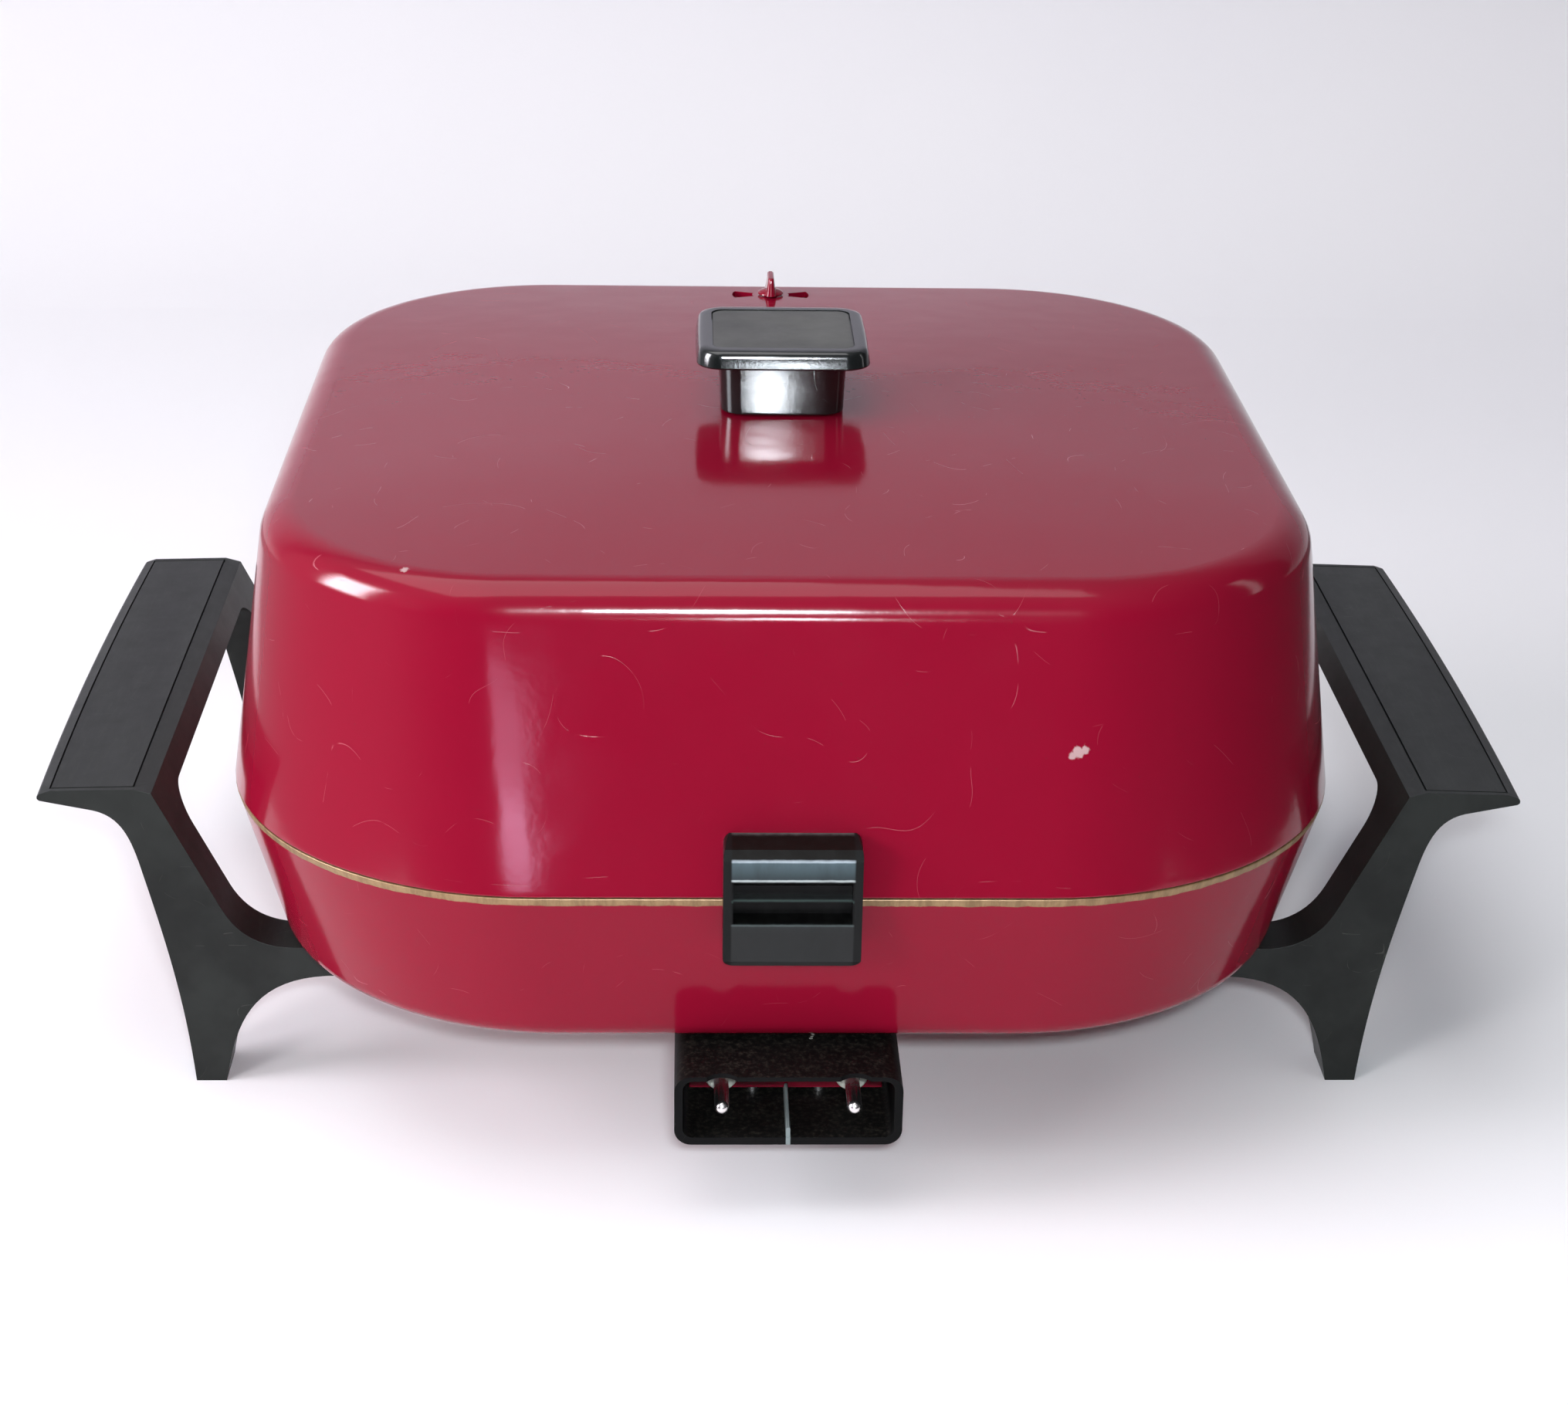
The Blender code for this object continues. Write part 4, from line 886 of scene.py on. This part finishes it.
def groove(front, depth, low, high):
    """A groove along the bracket's face, between (outer, inner) heights below and above."""
    outer = front - 0.001
    inner = front + depth
    outline = [(outer, high[0]), (inner, high[1]), (inner, low[1]), (outer, low[0])]
    return prism(outline, lambda y, z, along: (along, y, z), 2 * BRACKET_CHEEK_X)


def make_bracket(materials):
    """The grooved block on the lid's front. It reaches down over the outside of the pan's rim."""
    low, high = BRACKET_Z
    share = (high - RIM_Z - SEAM_GAP) / (LID_TOP_Z - RIM_Z - SEAM_GAP)
    wall_top = RIM_HALF + share * (LID_TOP_HALF - RIM_HALF)
    back = RIM_HALF + 0.0005
    front = BRACKET_FRONT_Y
    ridge_low, ridge_high = BRACKET_RIDGE_Z
    outline = [(-back, low - 0.001), (-back, RIM_Z + SEAM_GAP), (-wall_top - 0.0005, high)]
    outline += [(front + 0.0022, ridge_high + 0.0023), (front, ridge_high)]
    outline += [(front, low + 0.002), (front + 0.00225, low - 0.001)]
    body = prism(outline, lambda y, z, along: (along, y, z), 2 * BRACKET_HALF_X + 0.002)
    top = high + 0.0003
    ring = rounded_rectangle(BRACKET_HALF_X, (top - low) / 2, 0.0028, 0, 10)
    face = [(x, z + (top + low) / 2) for x, z, _ in ring]
    face = prism(face, lambda x, z, along: (x, along + front, z), 0.040)
    upper = groove(front, 0.003, (0.0956, 0.0956), (ridge_low, ridge_low - 0.0028))
    lower = groove(front, 0.0042, (0.0884, 0.0898), (0.0946, 0.0941))
    between_them = groove(front, 0.0008, (0.0936, 0.0936), (0.0966, 0.0966))
    steps = (("keep", face), ("cut", upper), ("cut", lower), ("cut", between_them), ("bevel", 0.0004))
    piece("front_bracket", body, (materials["bracket"],), "lid", ("tilt_bracket",), steps)


# The studio


def stage_object(name, bm, material):
    mesh = bpy.data.meshes.new(name)
    bm.to_mesh(mesh)
    bm.free()
    mesh.shade_smooth()
    mesh.materials.append(material)
    obj = bpy.data.objects.new(name, mesh)
    bpy.context.scene.collection.objects.link(obj)
    return obj


def backdrop_material():
    """Matt and nearly white, a little darker up the wall."""
    material, tree, output, vector = new_material("backdrop")
    colour = mix(tree, noise(tree, vector, 3, 2.0), (0.90, 0.90, 0.92), (0.93, 0.93, 0.94))
    height = node(tree, "SeparateXYZ", {0: vector}).outputs["Z"]
    colour = mix(tree, smooth(tree, height, 0.0, 0.4), colour, (0.66, 0.66, 0.72))
    normal = bump(tree, noise(tree, vector, 400, 2.0), 0.0001, 0.3)
    tree.links.new(principled(tree, colour, 0.85, 0.0, normal), output.inputs["Surface"])
    return material


def make_wall(material):
    """A wall that curves up from the floor behind the object."""
    profile = [(WALL_FOOT_Y, 0.0)]
    for step in range(1, 17):
        angle = step / 16 * math.pi / 2
        back = WALL_FOOT_Y + WALL_CURVE * math.sin(angle)
        profile.append((back, WALL_CURVE - WALL_CURVE * math.cos(angle)))
    profile.append((WALL_FOOT_Y + WALL_CURVE, WALL_TOP_Z))
    bm = bmesh.new()
    columns = [[bm.verts.new((x, y, z)) for y, z in profile] for x in (-FLOOR_HALF_X, FLOOR_HALF_X)]
    for index in range(len(profile) - 1):
        corners = (columns[0][index], columns[1][index], columns[1][index + 1], columns[0][index + 1])
        bm.faces.new(corners)
    stage_object("backdrop", bm, material)


def make_floor(material):
    """One pale floor in four parts, so that only the part near the object shows in its paint."""
    near, side, end = REFLECTED_FLOOR_Y, REFLECTED_FLOOR_X, FLOOR_HALF_X
    for name, left, right, front, back in (
        ("floor", -side, side, near, WALL_FOOT_Y),
        ("front_floor", -end, end, FLOOR_FRONT_Y, near),
        ("left_floor", -end, -side, near, WALL_FOOT_Y),
        ("right_floor", side, end, near, WALL_FOOT_Y),
    ):
        bm = bmesh.new()
        corners = ((left, front), (right, front), (right, back), (left, back))
        bm.faces.new([bm.verts.new((x, y, 0)) for x, y in corners])
        floor = stage_object(name, bm, material)
        floor.visible_glossy = name == "floor"
        floor.visible_shadow = name != "front_floor"
        floor.visible_diffuse = name != "right_floor"


def make_light(name, size, energy, colour, place, target):
    """A rectangular lamp that faces its target."""
    light = bpy.data.lights.new(name, "AREA")
    light.shape = "RECTANGLE"
    light.size, light.size_y = size
    light.energy = energy
    light.color = colour
    obj = bpy.data.objects.new(name, light)
    obj.location = place
    direction = Vector(target) - Vector(place)
    obj.rotation_mode = "QUATERNION"
    obj.rotation_quaternion = direction.to_track_quat("-Z", "Y")
    bpy.context.scene.collection.objects.link(obj)
    return obj


def make_world():
    """Bright behind and on the left, dim in front and on the right."""
    world = bpy.data.worlds.new("studio")
    bpy.context.scene.world = world
    world.use_nodes = True
    tree = world.node_tree
    tree.nodes.clear()
    direction = node(tree, "TexCoord").outputs["Generated"]
    parts = node(tree, "SeparateXYZ", {0: direction})
    ahead = smooth(tree, parts.outputs["Y"], -0.93, -0.45)
    colour = mix(tree, smooth(tree, parts.outputs["Z"], -0.1, 0.8), (0.80, 0.80, 0.88), (0.95, 0.97, 1.0))
    strength = scale_range(tree, ahead, 0.015, 0.48)
    leftward = smooth(tree, parts.outputs["X"], 0.9, -0.3)
    strength = calculate(tree, "MULTIPLY", strength, scale_range(tree, leftward, 0.12, 1.0))
    shader = node(tree, "Background", {"Color": colour, "Strength": strength})
    output = node(tree, "OutputWorld")
    tree.links.new(shader.outputs[0], output.inputs["Surface"])


def make_camera():
    """The camera looks down at the front from 0.93 m, a little from the left."""
    pitch, yaw, roll = math.radians(23.7), math.radians(2.08), math.radians(-1.06)
    level = Vector((math.sin(yaw), math.cos(yaw), 0)) * math.cos(pitch)
    forward = level - Vector((0, 0, math.sin(pitch)))
    right = Vector((math.cos(yaw), -math.sin(yaw), 0))
    down = forward.cross(right)
    across = right * math.cos(roll) + down * math.sin(roll)
    downward = down * math.cos(roll) - right * math.sin(roll)
    data = bpy.data.cameras.new("camera")
    data.lens = 68.07
    data.sensor_width = 36
    camera = bpy.data.objects.new("camera", data)
    matrix = Matrix((across, -downward, -forward)).transposed().to_4x4()
    matrix.translation = (-0.02747, -0.82355, 0.44332)
    camera.matrix_world = matrix
    bpy.context.scene.collection.objects.link(camera)
    bpy.context.scene.camera = camera


def make_lights():
    """Soft lamps for the room, then small ones that show only as highlights."""
    middle = (0, 0, 0.1)
    knob = (0, 0, 0.19)
    pale = (0.97, 0.98, 1.0)
    cool = (0.86, 0.93, 1.0)
    pink = (1.0, 0.66, 1.0)
    flash_place = (-0.01, -0.86, 0.50)
    window_place = (-1.5, -0.35, 0.7)
    make_light("overhead", (1.5, 1.3), 13, (1.0, 0.99, 1.0), (-0.35, -0.10, 1.75), middle)
    make_light("flash", (0.075, 0.035), 4.2, (0.90, 0.95, 1.0), flash_place, middle)
    key = make_light("key", (0.3, 0.3), 5.5, (1.0, 0.95, 0.97), (-0.85, -0.90, 0.45), middle)
    key.visible_glossy = False
    for name, size, energy, colour, place, target in (
        ("glint", (0.05, 0.03), 11, cool, flash_place, knob),
        ("low_glint", (0.07, 0.10), 1.5, cool, (0.044, -1.30, 0.27), knob),
        ("left_shine", (0.5, 0.7), 36, cool, window_place, middle),
        ("stripe", (0.085, 0.085), 0.11, pink, (-0.140, -0.60, 0.062), (-0.07, -0.15, 0.12)),
        ("stripe_foot", (0.07, 0.034), 0.05, pink, (-0.137, -0.60, 0.032), (-0.07, -0.15, 0.10)),
    ):
        light = make_light(name, size, energy, colour, place, target)
        light.visible_diffuse = False
    make_light("right_window", (0.12, 0.9), 0.7, pale, (1.45, -0.05, 0.55), middle)
    make_light("left_window", (0.7, 0.9), 18, (1.0, 0.90, 0.98), window_place, middle)


def make_materials():
    handle = (0.013, 0.015, 0.0135)
    guard = (0.002, 0.002, 0.002)
    gloss = (0.008, 0.010, 0.010)
    plate = (0.050, 0.052, 0.044)
    sheath, sheath_stain = (0.34, 0.31, 0.28), (0.12, 0.09, 0.06)
    steel, steel_stain = (0.66, 0.65, 0.63), (0.30, 0.27, 0.22)
    pin, pin_stain = (0.80, 0.76, 0.75), (0.35, 0.30, 0.27)
    dust = (0.040, 0.037, 0.029)
    return {
        "pan_paint": paint_material("pan_paint", bare_from=RIM_Z - 0.0021, ior=1.26),
        "lid_paint": paint_material("lid_paint", spots=LID_MARKS),
        "vent_paint": paint_material("vent_paint"),
        "handle": phenolic_material("handle_phenolic", handle, 0.06, 0.38, 1.27, (1.0, 0.12, 1.0)),
        "guard": phenolic_material("guard_phenolic", guard, 0.7, 0.5, 1.18, pale=dust, guard=True),
        "bracket": bracket_material("bracket_phenolic"),
        "gloss": phenolic_material("gloss_phenolic", gloss, 0.02, 0.12, 1.6),
        "plate": phenolic_material("plate_phenolic", plate, 0.06, 0.42, 1.5),
        "aluminium": metal_material("bare_aluminium", (0.72, 0.72, 0.73), 0.36, (1.0, 1.0, 4.0)),
        "sheath": metal_material("element_sheath", sheath, 0.48, stain=sheath_stain, amount=0.7),
        "steel": metal_material("bright_steel", steel, 0.26, stain=steel_stain, amount=0.35),
        "pin": metal_material("pin_steel", pin, 0.24, (4.0, 0.3, 4.0), pin_stain, 0.25),
        "ceramic": ceramic_material("ceramic"),
    }


def finish_kept_nodes(materials):
    """Gives a finish to each CAD node that no piece replaces."""
    for name, cad_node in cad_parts.items():
        if cad_node.hide_render:
            continue
        finish = "vent_paint" if name == "vent_shutter" else "steel"
        cad_node.data.materials.clear()
        cad_node.data.materials.append(materials[finish])


def main():
    materials = make_materials()
    make_pan(materials)
    make_element(materials)
    make_guard(materials)
    make_pins(materials)
    make_probe_tube(materials)
    make_handles(materials)
    make_lid(materials)
    make_vent(materials)
    make_knob_post(materials)
    make_knob_cap(materials)
    make_bracket(materials)
    finish_kept_nodes(materials)
    backdrop = backdrop_material()
    make_wall(backdrop)
    make_floor(backdrop)
    make_world()
    make_lights()
    make_camera()
    bpy.context.scene.view_settings.view_transform = "Standard"


main()
